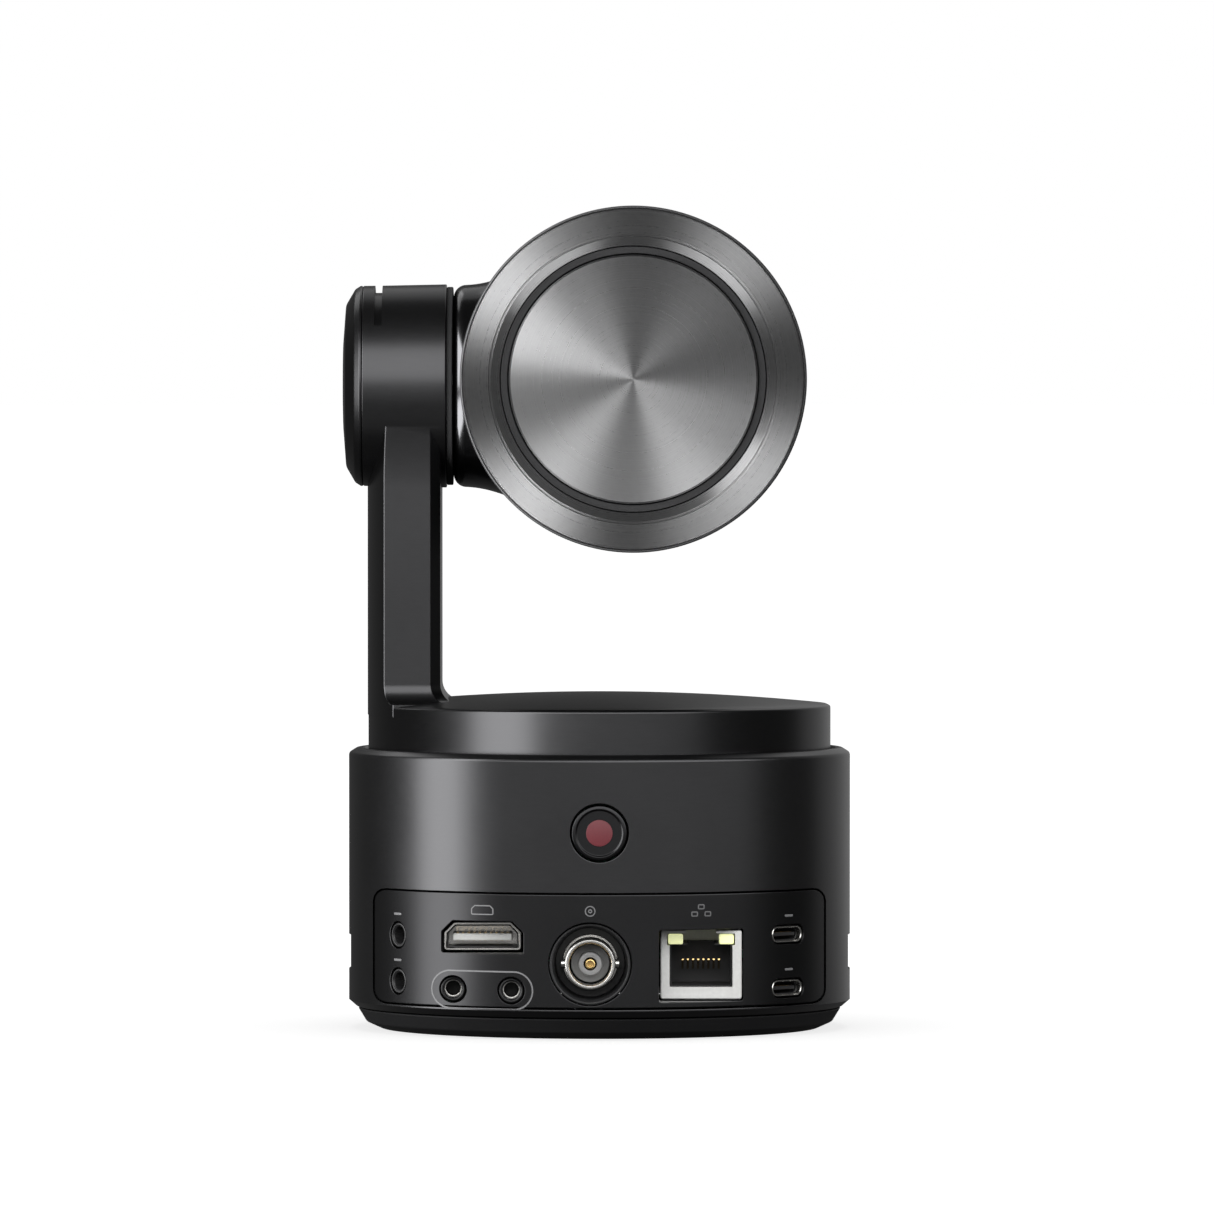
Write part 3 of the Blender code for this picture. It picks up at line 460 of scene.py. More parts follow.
def make_spun_metal(name, colour, roughness, pitch, painted_side_light):
    """Gunmetal turned on a lathe: fine rings about the optical axis, which stretch each highlight. Its colour
    also carries a painted highlight and painted shade: lighter on the lower left of the optical axis, darker
    on the upper right.
    """
    graph = Graph(name)
    coordinates = graph.add("ShaderNodeTexCoord")
    centred = graph.add("ShaderNodeVectorMath", {
        0: coordinates.outputs["Object"], 1: (-OPTICAL.x * MM, 0, -OPTICAL.z * MM),
    }, operation="ADD").outputs["Vector"]
    flat = graph.add("ShaderNodeVectorMath", {0: centred, 1: (1, 0, 1)}, operation="MULTIPLY")
    radius = graph.add("ShaderNodeVectorMath", {0: flat.outputs["Vector"]}, operation="LENGTH")
    rings = graph.add("ShaderNodeTexNoise", {
        "W": radius.outputs["Value"], "Scale": 1 / (pitch * MM), "Detail": 4.0, "Roughness": 0.6,
    }, noise_dimensions="1D").outputs["Fac"]
    broken = graph.noise(900, detail=2)
    mixed = graph.add("ShaderNodeMix", {"Factor": 0.22, "A": rings, "B": broken}).outputs["Result"]
    outward = graph.add("ShaderNodeVectorMath", {0: flat.outputs["Vector"]}, operation="NORMALIZE")
    # Painted highlight and painted shade: the colour is lighter where the surface lies towards -X and down
    # from the optical axis, and darker on the opposite side, by the strength given in the last argument.
    side = graph.add("ShaderNodeVectorMath", {0: outward.outputs["Vector"], 1: (-0.68, 0, -0.73)},
                     operation="DOT_PRODUCT").outputs["Value"]
    grain = graph.spread(mixed, -0.1, 0.1)
    tone = graph.add("ShaderNodeMath", {0: side, 1: painted_side_light, 2: grain},
                     operation="MULTIPLY_ADD").outputs[0]
    factor = graph.add("ShaderNodeMapRange", {"Value": tone, "From Min": -0.5, "From Max": 0.5}).outputs[0]
    graph.link(graph.tone(factor, shade(colour, 0.5), shade(colour, 1.5)), "Base Color")
    graph.link(graph.spread(mixed, roughness * 0.92, roughness * 1.08), "Roughness")
    graph.link(graph.bump(rings, 0.0006 * MM), "Normal")
    tangent = graph.add("ShaderNodeTangent", direction_type="RADIAL", axis="Y")
    graph.link(tangent.outputs["Tangent"], "Tangent")
    graph.set(Metallic=1.0, Anisotropic=0.92, Anisotropic_Rotation=0.25)
    return graph.material


def make_steel():
    return grained("steel", (0.5, 0.5, 0.51), 0.32, 1.0, 0.4, 0.004, 0.1, (0.2, 0.2, 1)).material


def make_nickel():
    return grained("nickel", (0.62, 0.61, 0.585), 0.24, 1.0, 0.5, 0.002, 0.08).material


def make_tin():
    """Dull tinned sheet, which scatters more light than polished plating."""
    return grained("tin", (0.6, 0.6, 0.585), 0.42, 0.45, 0.6, 0.004, 0.08).material


def make_brass():
    return grained("brass", (0.75, 0.53, 0.22), 0.22, 1.0, 0.5, 0.002, 0.08).material


def make_winding():
    """Enamelled copper wire, wound side by side."""
    graph = Graph("winding")
    strands = graph.add("ShaderNodeTexWave", {
        "Vector": graph.place((1, 1, 1)), "Scale": 900.0, "Distortion": 1.5, "Detail": 2.0,
    }, bands_direction="DIAGONAL").outputs["Fac"]
    graph.link(graph.tone(strands, (0.16, 0.05, 0.02), (0.5, 0.2, 0.08)), "Base Color")
    graph.link(graph.spread(strands, 0.3, 0.45), "Roughness")
    graph.link(graph.bump(strands, 0.05 * MM), "Normal")
    graph.set(Metallic=0.8)
    return graph.material


def make_circuit_board():
    """Green solder mask over traces that show as a lighter pattern."""
    graph = Graph("circuit_board")
    traces = graph.add("ShaderNodeTexBrick", {
        "Vector": graph.place((1, 1, 1)), "Scale": 420.0, "Mortar Size": 0.06,
        "Color1": (0.007, 0.06, 0.035, 1), "Color2": (0.01, 0.08, 0.045, 1),
        "Mortar": (0.03, 0.16, 0.08, 1),
    })
    graph.link(traces.outputs["Color"], "Base Color")
    graph.link(graph.spread(traces.outputs["Fac"], 0.35, 0.5), "Roughness")
    graph.link(graph.bump(traces.outputs["Fac"], 0.02 * MM), "Normal")
    return graph.material


def make_white_plastic():
    return grained("white_plastic", (0.6, 0.6, 0.58), 0.4, 0.0, 0.4, 0.004, 0.06).material


def make_dielectric():
    return grained("dielectric", (0.2, 0.2, 0.2), 0.45, 0.0, 0.4, 0.004, 0.08).material


def make_lamp():
    """A light pipe that glows faintly."""
    graph = grained("lamp", (0.75, 0.76, 0.35), 0.25, 0.0, 0.5, 0.004, 0.1)
    graph.set(Emission_Color=(0.9, 0.95, 0.55, 1), Emission_Strength=0.55)
    return graph.material


def make_indicator():
    """The plain red dot of the button."""
    graph = grained("indicator", (0.085, 0.008, 0.013), 0.45, 0.0, 0.35, 0.003, 0.15)
    graph.set(Emission_Color=(0.6, 0.02, 0.04, 1), Emission_Strength=0.02)
    return graph.material


def make_print():
    """Light grey marking, printed thin."""
    return grained("marking", (0.1, 0.1, 0.103), 0.5, 0.0, 0.2, 0.002, 0.12).material


def make_glass():
    graph = Graph("glass")
    haze = graph.noise(400, detail=2)
    graph.link(graph.spread(haze, 0.004, 0.02), "Roughness")
    graph.link(graph.tone(haze, (0.86, 0.92, 0.94), (0.92, 0.96, 0.97)), "Base Color")
    graph.set(Transmission_Weight=1.0, IOR=1.22, Thin_Film_Thickness=330.0, Thin_Film_IOR=1.38)
    return graph.material


def make_coated_lens():
    """A front element whose coating reflects violet and green over a dark barrel."""
    graph = Graph("coated_lens")
    haze = graph.noise(300, detail=2)
    graph.link(graph.spread(haze, 0.02, 0.05), "Roughness")
    graph.link(graph.tone(haze, (0.008, 0.009, 0.016), (0.012, 0.012, 0.024)), "Base Color")
    graph.set(Coat_Weight=1.0, Coat_Roughness=0.015, Coat_IOR=1.4, Coat_Tint=(0.7, 0.55, 1.0, 1),
              Thin_Film_Thickness=420.0, Thin_Film_IOR=1.5, Specular_IOR_Level=0.5)
    return graph.material


FINISH = {
    "shell_metal": make_shell_metal(),
    "panel": make_panel_finish(),
    "rubber": make_rubber(),
    "black_plastic": make_black_plastic(),
    "gloss_black": make_gloss_black(),
    # The last number is the strength of the painted highlight and shade across the ring.
    "spun_metal": make_spun_metal("spun_metal", (0.3, 0.3, 0.303), 0.29, 0.16, 0.1),
    "steel": make_steel(),
    "nickel": make_nickel(),
    "brass": make_brass(),
    "winding": make_winding(),
    "circuit_board": make_circuit_board(),
    "white_plastic": make_white_plastic(),
    "lamp": make_lamp(),
    "glass": make_glass(),
}
# The last number is the strength of the painted highlight and shade across the disc.
SPUN_DISC = make_spun_metal("spun_disc", (0.29, 0.29, 0.293), 0.29, 0.2, 0.18)
INDICATOR = make_indicator()
DIELECTRIC = make_dielectric()
POLISHED = make_polished()
TIN = make_tin()
MARKING = make_print()
COATED = make_coated_lens()


def finish_carried_nodes():
    """Every CAD node takes the procedural finish of its slot in the record."""
    for subpart in frame["record"]["subparts"]:
        node = frame["nodes"].get(subpart.get("node"))
        if node and subpart.get("material_slot") in FINISH:
            node.data.materials.clear()
            node.data.materials.append(FINISH[subpart["material_slot"]])


# ---------------- curved walls


def wrapped(across, height, depth, straight=False, radius=BASE_RADIUS, stop=None):
    """The place of a point this far round a wall, up it and into it. Straight goes in along +Y."""
    turn = across / radius
    if not straight:
        reach = radius - depth
        return Vector((reach * math.sin(turn), -reach * math.cos(turn), height))
    y = -radius * math.cos(turn) + depth if stop is None else stop
    return Vector((radius * math.sin(turn), y, height))


def round_the_wall(outline, radius):
    """An outline seen from the front, as (x, height), laid on the wall as (distance round it, height)."""
    return [(radius * math.asin(x / radius), z) for x, z in outline]


def inside(point, outline):
    within = False
    x, y = point
    for index, (x1, y1) in enumerate(outline):
        x0, y0 = outline[index - 1]
        if (y0 > y) != (y1 > y) and x < (x1 - x0) * (y - y0) / (y1 - y0) + x0:
            within = not within
    return within


def skin(bm, loops, radius, depth, spacing):
    """A triangulated skin at this depth in the wall, inside the first loop and outside the others."""
    outer, *holes = [loop["flat"] for loop in loops]

    def within(point):
        return inside(point, outer) and not any(inside(point, hole) for hole in holes)

    flat = [point for loop in loops for point in loop["flat"]]
    verts = [vert for loop in loops for vert in loop["verts"]]
    edges, start = [], 0
    for loop in loops:
        count = len(loop["flat"])
        edges += [(start + index, start + (index + 1) % count) for index in range(count)]
        start += count
    left, low = [min(point[axis] for point in outer) for axis in (0, 1)]
    width, height = [max(point[axis] for point in outer) - least for axis, least in ((0, left), (1, low))]
    columns, rows = round(width / spacing), round(height / spacing)
    for column in range(1, columns):
        for row in range(1, rows):
            point = (left + width * column / columns, low + height * row / rows)
            if within(point):
                flat.append(point)
                verts.append(bm.verts.new(wrapped(*point, depth, radius=radius)))
    coincident, sliver = 1e-5, 1e-3
    merged = delaunay_2d_cdt([Vector(point) for point in flat], edges, [], 0, coincident)
    places, triangles, sources = merged[0], merged[2], merged[3]
    for triangle in triangles:
        first, second, third = (places[index] for index in triangle)
        doubled_area = abs((second - first).cross(third - first))
        if doubled_area > sliver and within((first + second + third) / 3):
            bm.faces.new([verts[sources[index][0]] for index in triangle])


def opening(outline, straight=True, collar=None):
    return {"outline": outline, "straight": straight, "collar": collar}


def ring_of(bm, item, growth, depth, radius, stop=None):
    flat = grown(item["outline"], growth)
    verts = [bm.verts.new(wrapped(*point, depth, item["straight"], radius, stop)) for point in flat]
    return {"flat": flat, "verts": verts}


def cut_edges(bm, item, radius, thickness, edge, sign=1):
    """The wall of an opening, or with sign -1 of the outer boundary: its front and back loops."""
    steps = [(sign * edge, 0), (sign * edge * 0.3, edge * 0.3), (0, edge), (0, thickness)]
    rings = [ring_of(bm, item, growth, depth, radius) for growth, depth in steps]
    if item["collar"]:
        thick, end = item["collar"]
        rings.insert(3, ring_of(bm, item, 0, 0, radius, end))
        rings.insert(4, ring_of(bm, item, thick, 0, radius, end))
        rings[5] = ring_of(bm, item, thick, thickness, radius)
    lofted(bm, [ring["verts"] for ring in rings])
    return rings[0], rings[-1]


# ---------------- base


WALL = 2.3
PANEL_GAP = 0.3
PANEL_RADIUS = BASE_RADIUS - 0.2
PANEL_THICKNESS = 2.4
PANEL_EDGE = 0.22
HOLE_EDGE = 0.12
COAX_OPENING = 8.2
PANEL_CORNER = 2.4
AUDIO_ANGLE = -53.0
AUDIO_FRONT = 49.7
USB_ANGLE = 48.5
USB_FRONT = 49.5
JACK_RADIUS = 2.4


def panel_outline(grow):
    width = PANEL_HIGH.x - PANEL_LOW.x
    height = PANEL_HIGH.z - PANEL_LOW.z
    middle = (0, (PANEL_HIGH.z + PANEL_LOW.z) / 2)
    return rectangle(width + 2 * grow, height + 2 * grow, PANEL_CORNER + grow, middle)


def make_foot():
    """Rubber ring with a slanted side, and a shallow tread cut in its sole."""
    outer = BASE_RADIUS - 1.8
    profile = rounded([
        (outer, FOOT_TOP, 0.2), (outer - 1.7, 1.3, 1.0), (outer - 4.6, 0, 0.8),
        (outer - 6.0, 0, 0.2), (outer - 6.3, 0.5, 0.1), (outer - 7.4, 0.5, 0.1), (outer - 7.7, 0, 0.2),
        (38.5, 0, 0.2), (38.5, FOOT_TOP, 0.2),
    ])
    piece("foot", lathe(profile), "rubber", "base", ["foot_ring"])


def make_bottom():
    """Bottom plate with a raised rim round the tripod bush, and the bush itself."""
    low, high = low_of("base_plate").z, high_of("base_plate").z
    plate = turned([
        (38.2, low, 0.3), (38.2, high, 0), (8.3, high, 0), (8.3, low, 0.2), (10.5, low, 0.2),
        (10.9, low + 0.5, 0.1), (28.5, low + 0.5, 0.1), (28.9, low, 0.2),
    ])
    for screw in (1, 2, 3):
        place = middle_of(f"base_screw_{screw}")
        recess = lathe([(0, low - 1), (2.8, low - 1), (2.8, low + 1.7), (0, low + 1.7)],
                       at(place.x, place.y, 0), SMALL, closed=False)
        plate = combined(plate, recess, "DIFFERENCE")
    piece("bottom_plate", plate, "black_plastic", "base", ["base_plate"])
    low, high = low_of("tripod_insert").z, high_of("tripod_insert").z
    bore, root, pitch = 3.2, 3.55, 1.27
    thread = []
    height = high - 0.4
    while height > low + 1:
        thread += [(bore, height), (root, height - pitch / 2)]
        height -= pitch
    profile = rounded([(bore + 0.4, low, 0), (8.0, low, 0.3), (8.0, high, 0.2), (bore, high, 0)])
    piece("tripod_bush", lathe(profile + thread, facets=MEDIUM), "steel", "base",
          ["tripod_insert"])


def make_shell():
    """The turned wall: chamfered at its foot, rounded at its rim, cut for the panel and the button."""
    bm = bmesh.new()
    window = opening(divided(round_the_wall(panel_outline(PANEL_GAP), BASE_RADIUS), 1.5))
    button = opening([(x, BUTTON.z + z) for x, z in circle(BUTTON_RADIUS + 0.3, 56)], straight=False)
    low, high = BASE_LOW + 1.3, BASE_TOP - 1.4
    half_turn = math.pi * BASE_RADIUS
    inner_low, inner_high = 5.6, BASE_TOP - 2.6
    loops = [cut_edges(bm, item, BASE_RADIUS, WALL, HOLE_EDGE) for item in (window, button)]
    for side, depth, bottom, top in ((0, 0, low, high), (1, WALL, inner_low, inner_high)):
        rows = 16
        flat = [(half_turn * (2 * step / FINE - 1), bottom) for step in range(FINE + 1)]
        flat += [(half_turn, bottom + (top - bottom) * row / rows) for row in range(1, rows)]
        flat += [(half_turn * (1 - 2 * step / FINE), top) for step in range(FINE + 1)]
        flat += [(-half_turn, top - (top - bottom) * row / rows) for row in range(1, rows)]
        verts = [bm.verts.new(wrapped(*point, depth)) for point in flat]
        skin(bm, [{"flat": flat, "verts": verts}] + [pair[side] for pair in loops], BASE_RADIUS, depth, 2.6)
    rim = rounded([
        (BASE_RADIUS, high, 0), (BASE_RADIUS - 0.15, high + 0.5, 0.8), (BASE_RADIUS - 1.6, BASE_TOP, 0.9),
        (BASE_RADIUS - 2.9, BASE_TOP, 0.3), (46.7, BASE_TOP - 0.5, 0.2), (46.7, inner_high, 0.2),
        (BASE_RADIUS - WALL, inner_high, 0),
    ], closed=False)
    skirt = rounded([
        (BASE_RADIUS, low, 0), (BASE_RADIUS - 1.5, BASE_LOW, 0.3), (44.0, BASE_LOW, 0.1),
        (44.0, inner_low, 0.1), (BASE_RADIUS - WALL, inner_low, 0),
    ], closed=False)
    for profile in (rim, skirt):
        rings = []
        for radius, height in profile:
            turns = [math.pi * (2 * step / FINE - 1) for step in range(FINE)]
            ring = [(radius * math.sin(turn), -radius * math.cos(turn), height) for turn in turns]
            rings.append([bm.verts.new(point) for point in ring])
        lofted(bm, rings)
    shell = tidied(bm)
    flat_depth, flat_low, flat_high = 0.5, 11.8, 18.8
    for side in (-1, 1):
        reach = sorted((side * (BASE_RADIUS - flat_depth), side * (BASE_RADIUS + 2)))
        middle = (sum(reach) / 2, 0)
        notch = slab(rectangle(reach[1] - reach[0], 18, 0, middle, 1), flat_low, flat_high, 0.01)
        shell = combined(shell, notch, "DIFFERENCE")
    piece("base_wall", shell, "shell_metal", "base", ["base_shell"], wall=BASE_RADIUS)


def audio_places():
    return [(AUDIO_ANGLE, middle_of(f"audio_jack_{label}").z) for label in ("upper", "lower")]


def usb_places():
    return [(USB_ANGLE, middle_of(f"usb_c_port_{label}").z) for label in ("upper", "lower")]


def control_places():
    return [middle_of(f"control_jack_{label}") for label in ("left", "right")]


def make_panel():
    """The curved connector panel, its sockets' openings and the collars behind the two large ones."""
    bm = bmesh.new()
    radius = PANEL_RADIUS
    mouth = video_mouth(16.2, 6.4, 2.2, 0.5, (VIDEO.x, VIDEO.z))
    square = rectangle(16.6, 14.2, 0.5, (NETWORK.x, NETWORK.z))
    collar = 0.8
    farthest = [max(abs(x) for x, _ in outline) + collar for outline in (mouth, square)]
    video_end, network_end = [0.5 - math.sqrt(radius**2 - reach**2) for reach in farthest]
    holes = [
        opening(round_the_wall(divided(mouth, 1.2), radius), True, (collar, video_end)),
        opening(round_the_wall(divided(square, 1.2), radius), True, (collar, network_end)),
        opening(round_the_wall(circle(COAX_OPENING, 72, (COAX.x, COAX.z)), radius)),
    ]
    hole = JACK_RADIUS + 0.3
    for place in control_places():
        holes.append(opening(round_the_wall(circle(hole, 40, (place.x, place.z)), radius)))
    for angle, height in audio_places():
        middle = (radius * math.radians(angle), height)
        holes.append(opening(circle(hole, 40, middle), straight=False))
    for angle, height in usb_places():
        middle = (radius * math.radians(angle), height)
        holes.append(opening(divided(rectangle(9.6, 3.9, 1.9, middle, 8), 1.2), straight=False))
    edge = opening(divided(round_the_wall(panel_outline(0), radius), 1.2))
    front, back = cut_edges(bm, edge, radius, PANEL_THICKNESS, PANEL_EDGE, -1)
    fronts, backs = [front], [back]
    for item in holes:
        front, back = cut_edges(bm, item, radius, PANEL_THICKNESS, HOLE_EDGE)
        fronts.append(front)
        backs.append(back)
    skin(bm, fronts, radius, 0, 1.1)
    skin(bm, backs, radius, PANEL_THICKNESS, 2.5)
    piece("connector_panel", tidied(bm), "panel", "base", ["io_panel"], wall=PANEL_RADIUS)


def wrapped_line(bm, outline, width, radius):
    """A closed line of print round an outline laid on the wall."""
    half, relief = width / 2, 0.03
    rings = []
    for growth, depth in ((-half, relief), (-half, -relief), (half, -relief), (half, relief)):
        points = grown(outline, growth)
        rings.append([bm.verts.new(wrapped(*point, depth, radius=radius)) for point in points])
    lofted(bm, rings, closed=True)


def make_markings():
    """Plain printed signs: a line round the two control jacks, and a small picture over each socket."""
    bm = bmesh.new()
    line = 0.22
    left, right = control_places()
    middle = ((left.x + right.x) / 2, left.z)
    pill = rectangle(right.x - left.x + 8.4, 7.4, 3.69, middle, 12)
    wrapped_line(bm, round_the_wall(divided(pill, 1.0), PANEL_RADIUS), 0.3, PANEL_RADIUS)
    top_row = 25.4
    pictures = [
        video_mouth(4.2, 1.7, 0.6, 0.2, (VIDEO.x, top_row)),
        circle(0.95, 24, (COAX.x, top_row)),
        circle(0.3, 12, (COAX.x, top_row)),
    ]
    for x, z in ((0, 0.7), (-1.3, -0.7), (1.3, -0.7)):
        pictures.append(rectangle(1.1, 0.8, 0.15, (NETWORK.x + x, top_row + z)))
    for picture in pictures:
        wrapped_line(bm, round_the_wall(divided(picture, 0.7), PANEL_RADIUS), line, PANEL_RADIUS)
    bars = [radial(AUDIO_ANGLE, PANEL_RADIUS, z + 4.2) for _, z in audio_places()]
    bars += [radial(USB_ANGLE, PANEL_RADIUS, z + 3.7) for _, z in usb_places()]
    bars = [slab(rectangle(2.4, 0.45, 0.2), -0.1, 0.03, 0.01, place) for place in bars]
    bm = joined(tidied(bm), *bars)
    piece("panel_print", bm, "white_plastic", "base", finish=MARKING)


def make_button():
    """Round button with a raised rim and a plain red dot."""
    front = -low_of("power_button").y
    back = -high_of("power_button").y
    edge = BUTTON_RADIUS
    profile = rounded([
        (0, front - 0.3, 0), (edge - 1.1, front - 0.3, 0.2), (edge - 0.8, front, 0.2),
        (edge - 0.1, front - 0.1, 0.3), (edge, back, 0.1), (0, back, 0),
    ], closed=False)
    placing = facing_out(BUTTON.x, 0, BUTTON.z)
    piece("button_cap", lathe(profile, placing, MEDIUM, False), "panel", "power_button",
          ["power_button"])
    dot_radius = 2.6
    dot = rounded([
        (0, front - 0.22, 0), (dot_radius, front - 0.22, 0.06), (dot_radius, front - 0.4, 0),
        (0, front - 0.4, 0),
    ], closed=False)
    piece("button_dot", lathe(dot, placing, SMALL, False), "lamp", "power_button", finish=INDICATOR)


# ---------------- sockets


def make_video_port():
    """Plated shell, dark well, and a pale tongue with its row of contacts."""
    placing = facing_out(VIDEO.x, low_of("video_port").y, VIDEO.z)
    depth = high_of("video_port").y - low_of("video_port").y
    outline = video_mouth(15.2, 5.6, 2.0, 0.65)
    sleeve = drawn(outline, [
        (0, -depth), (0, -0.15), (-0.15, 0), (-0.4, 0), (-0.5, -0.15), (-0.5, -depth + 1.5),
    ], placing)
    piece("video_shell", sleeve, "nickel", "base", ["video_port"])
    well = tube(video_mouth(14.1, 4.5, 1.7, 0.4), 0.25, -depth + 1.6, -0.9, 0.1, placing)
    piece("video_well", well, "black_plastic", "base")
    tongue = slab(rectangle(11.6, 1.4, 0.2, (0, -0.2)), -depth + 1.6, -1.0, 0.2, placing)
    piece("video_tongue", tongue, "white_plastic", "base")
    contacts = []
    for index in range(10):
        for side in (-1, 1):
            x = -4.95 + 1.1 * index
            strip = rectangle(0.5, 0.12, 0, (x, -0.2 + side * 0.74), 1)
            contacts.append(slab(strip, -depth + 1.8, -1.9, 0.03, placing))
    piece("video_contacts", joined(*contacts), "brass", "base")


def make_network_jack():
    """Shield with a latch notch, a black well with eight contacts, and a lamp in each upper corner."""
    front = low_of("network_jack").y
    placing = facing_out(NETWORK.x, front, NETWORK.z)
    depth = high_of("network_jack").y - front
    shield = drawn(rectangle(16.0, 13.6, 0.5), [
        (0, -depth), (0, -0.2), (-0.2, 0), (-0.25, 0),
    ], placing)
    openings = (
        rectangle(12.4, 8.6, 0.25, (0, -0.1)),
        rectangle(13.4, 2.4, 0.25, (0, 4.95)),
        rectangle(6.0, 5.0, 0.2, (0, 5.4)),
    )
    for outline in openings:
        shield = combined(shield, slab(outline, -15, 2, 0.01, placing), "DIFFERENCE")
    piece("network_shield", shield, "nickel", "base", ["network_jack"], TIN)
    insert = slab(rectangle(12.3, 8.5, 0.2, (0, -0.1)), -14.9, -0.7, 0.1, placing)
    hollow = slab(rectangle(11.7, 7.9, 0.2, (0, -0.1)), -13.5, 1, 0.01, placing)
    slot = slab(rectangle(5.4, 3.0, 0.2, (0, 4.2)), -12, 1, 0.01, placing)
    insert = combined(insert, hollow, "DIFFERENCE")
    insert = combined(insert, slot, "DIFFERENCE")
    piece("network_well", insert, "black_plastic", "base")
    wires = []
    for index in range(8):
        x = -3.56 + 1.017 * index
        lean = Matrix.Rotation(math.radians(-16), 4, "X")
        place = placing @ at(x, 0.8, -5.0) @ lean
        wires.append(slab(rectangle(0.42, 0.32, 0.05, steps=1), -7.5, 0, 0.03, place))
    piece("network_contacts", joined(*wires), "brass", "base")
    for label, side in (("left", -1), ("right", 1)):
        lamp = slab(rectangle(2.9, 1.9, 0.35, (side * 5.0, 4.95)), -3.5, -0.25, 0.2, placing)
        piece(f"network_lamp_{label}", lamp, "lamp", "base", [f"network_led_{label}"])


def make_coax():
    """Bayonet connector in its cup: plain shell with two lugs, grey insulator, gold contact."""
    front = low_of("coax_cup").y
    placing = facing_out(COAX.x, front, COAX.z)
    cup = rounded([
        (8.0, 0, 0.2), (8.0, -9.4, 0.2), (5.4, -9.4, 0), (5.4, -8.2, 0.2), (6.9, -8.2, 0.3),
        (7.1, -1.0, 0.2), (7.5, 0, 0.2),
    ])
    piece("coax_recess", lathe(cup, placing, MEDIUM), "black_plastic", "base", ["coax_cup"])
    sleeve = turned([
        (5.0, 0.3, 0.2), (5.0, -0.9, 0.1), (4.75, -1.1, 0.1), (4.75, -6.4, 0.1), (5.0, -6.6, 0.1),
        (5.0, -9.6, 0), (6.4, -9.6, 0), (6.4, -18, 0.2), (4.1, -18, 0), (4.1, 0.3, 0.1),
        (4.3, 0.6, 0.1), (4.75, 0.6, 0.1),
    ], placing, MEDIUM)
    for turn in (0, 180):
        spin = Matrix.Rotation(math.radians(turn), 4, "Z")
        lug = slab(circle(0.9, 28), 4.4, 5.8, 0.15, placing @ at(0, 0, -2.2) @ spin @ ALONG_X)
        sleeve = combined(sleeve, lug, "UNION")
    piece("coax_sleeve", sleeve, "nickel", "base", ["coax_shell"])
    insulator = turned([
        (3.8, -5.2, 0.2), (3.8, -9.5, 0), (1.3, -9.5, 0), (1.3, -1.6, 0.1), (2.3, -1.6, 0.3),
        (2.3, -5.2, 0.1),
    ], placing, SMALL)
    piece("coax_dielectric", insulator, "white_plastic", "base", ["coax_insulator"], DIELECTRIC)
    contact = turned([
        (0.55, -1.2, 0.1), (1.0, -1.2, 0.25), (1.0, -9.5, 0), (0, -9.5, 0), (0, -4.0, 0), (0.55, -4.0, 0),
    ], placing, SMALL)
    piece("coax_pin_socket", contact, "brass", "base", ["coax_contact"])


def make_jacks():
    """Four round jacks: a ferrule with a stepped mouth, and a spring contact deep in the bore."""
    places = []
    for label, (angle, height) in zip(("upper", "lower"), audio_places()):
        places.append((f"audio_jack_{label}", radial(angle, AUDIO_FRONT, height), 8.0))
    for label, place in zip(("left", "right"), control_places()):
        node = f"control_jack_{label}"
        places.append((node, facing_out(place.x, low_of(node).y, place.z), 6.0))
    for node, placing, length in places:
        ferrule = turned([
            (JACK_RADIUS, 0, 0.2), (JACK_RADIUS, -4.5, 0), (2.8, -4.5, 0), (2.8, -4 - length, 0.3),
            (0, -4 - length, 0), (0, -3 - length, 0), (1.75, -3 - length, 0), (1.75, -0.35, 0.1),
            (2.05, 0, 0.1),
        ], placing, SMALL)
        piece(f"{node}_ferrule", ferrule, "black_plastic", "base", [node])
        spring = turned([
            (1.7, -3.2, 0), (1.7, -5.4, 0), (1.45, -5.4, 0.1), (1.3, -4.3, 0.2), (1.45, -3.2, 0.1),
        ], placing, SMALL)
        piece(f"{node}_spring", spring, "nickel", "base")


def make_usb_ports():
    """Two oval sockets, each with a folded shell, a black well and a tongue with contacts."""
    depth = 7.4
    for label, (angle, height) in zip(("upper", "lower"), usb_places()):
        placing = radial(angle, USB_FRONT, height)
        outline = rectangle(8.9, 3.2, 1.55, steps=8)
        sleeve = drawn(outline, [
            (0, -depth), (0, -0.1), (-0.1, 0), (-0.22, 0), (-0.32, -0.12), (-0.32, -depth + 1.0),
        ], placing)
        piece(f"usb_{label}_shell", sleeve, "nickel", "base", [f"usb_c_port_{label}"])
        well = tube(grown(outline, -0.34), 0.16, -depth + 1.1, -1.2, 0.05, placing)
        tongue = slab(rectangle(6.6, 0.7, 0.2), -depth + 1.1, -0.9, 0.1, placing)
        piece(f"usb_{label}_tongue", joined(well, tongue), "black_plastic", "base")
        contacts = []
        for index in range(12):
            for side in (-1, 1):
                strip = rectangle(0.24, 0.06, 0, (-2.75 + 0.5 * index, side * 0.37), 1)
                contacts.append(slab(strip, -depth + 1.3, -1.5, 0.01, placing))
        piece(f"usb_{label}_contacts", joined(*contacts), "brass", "base")


# ---------------- turntable and arm


ARM_RADIUS = TABLE_RADIUS + 0.15
ARM_INNER = 31.6
ARM_HALF_WIDTH = 17.6
ARM_CHAMFER = 2.0
ARM_FILLET = 4.0
TABLE_EDGE = TABLE_LOW + 10.7
HOUSING_LEFT = low_of("yoke").x
HOUSING_RIGHT = low_of("tilt_seal_ring").x - 0.3
HOUSING_BORE = 17.6


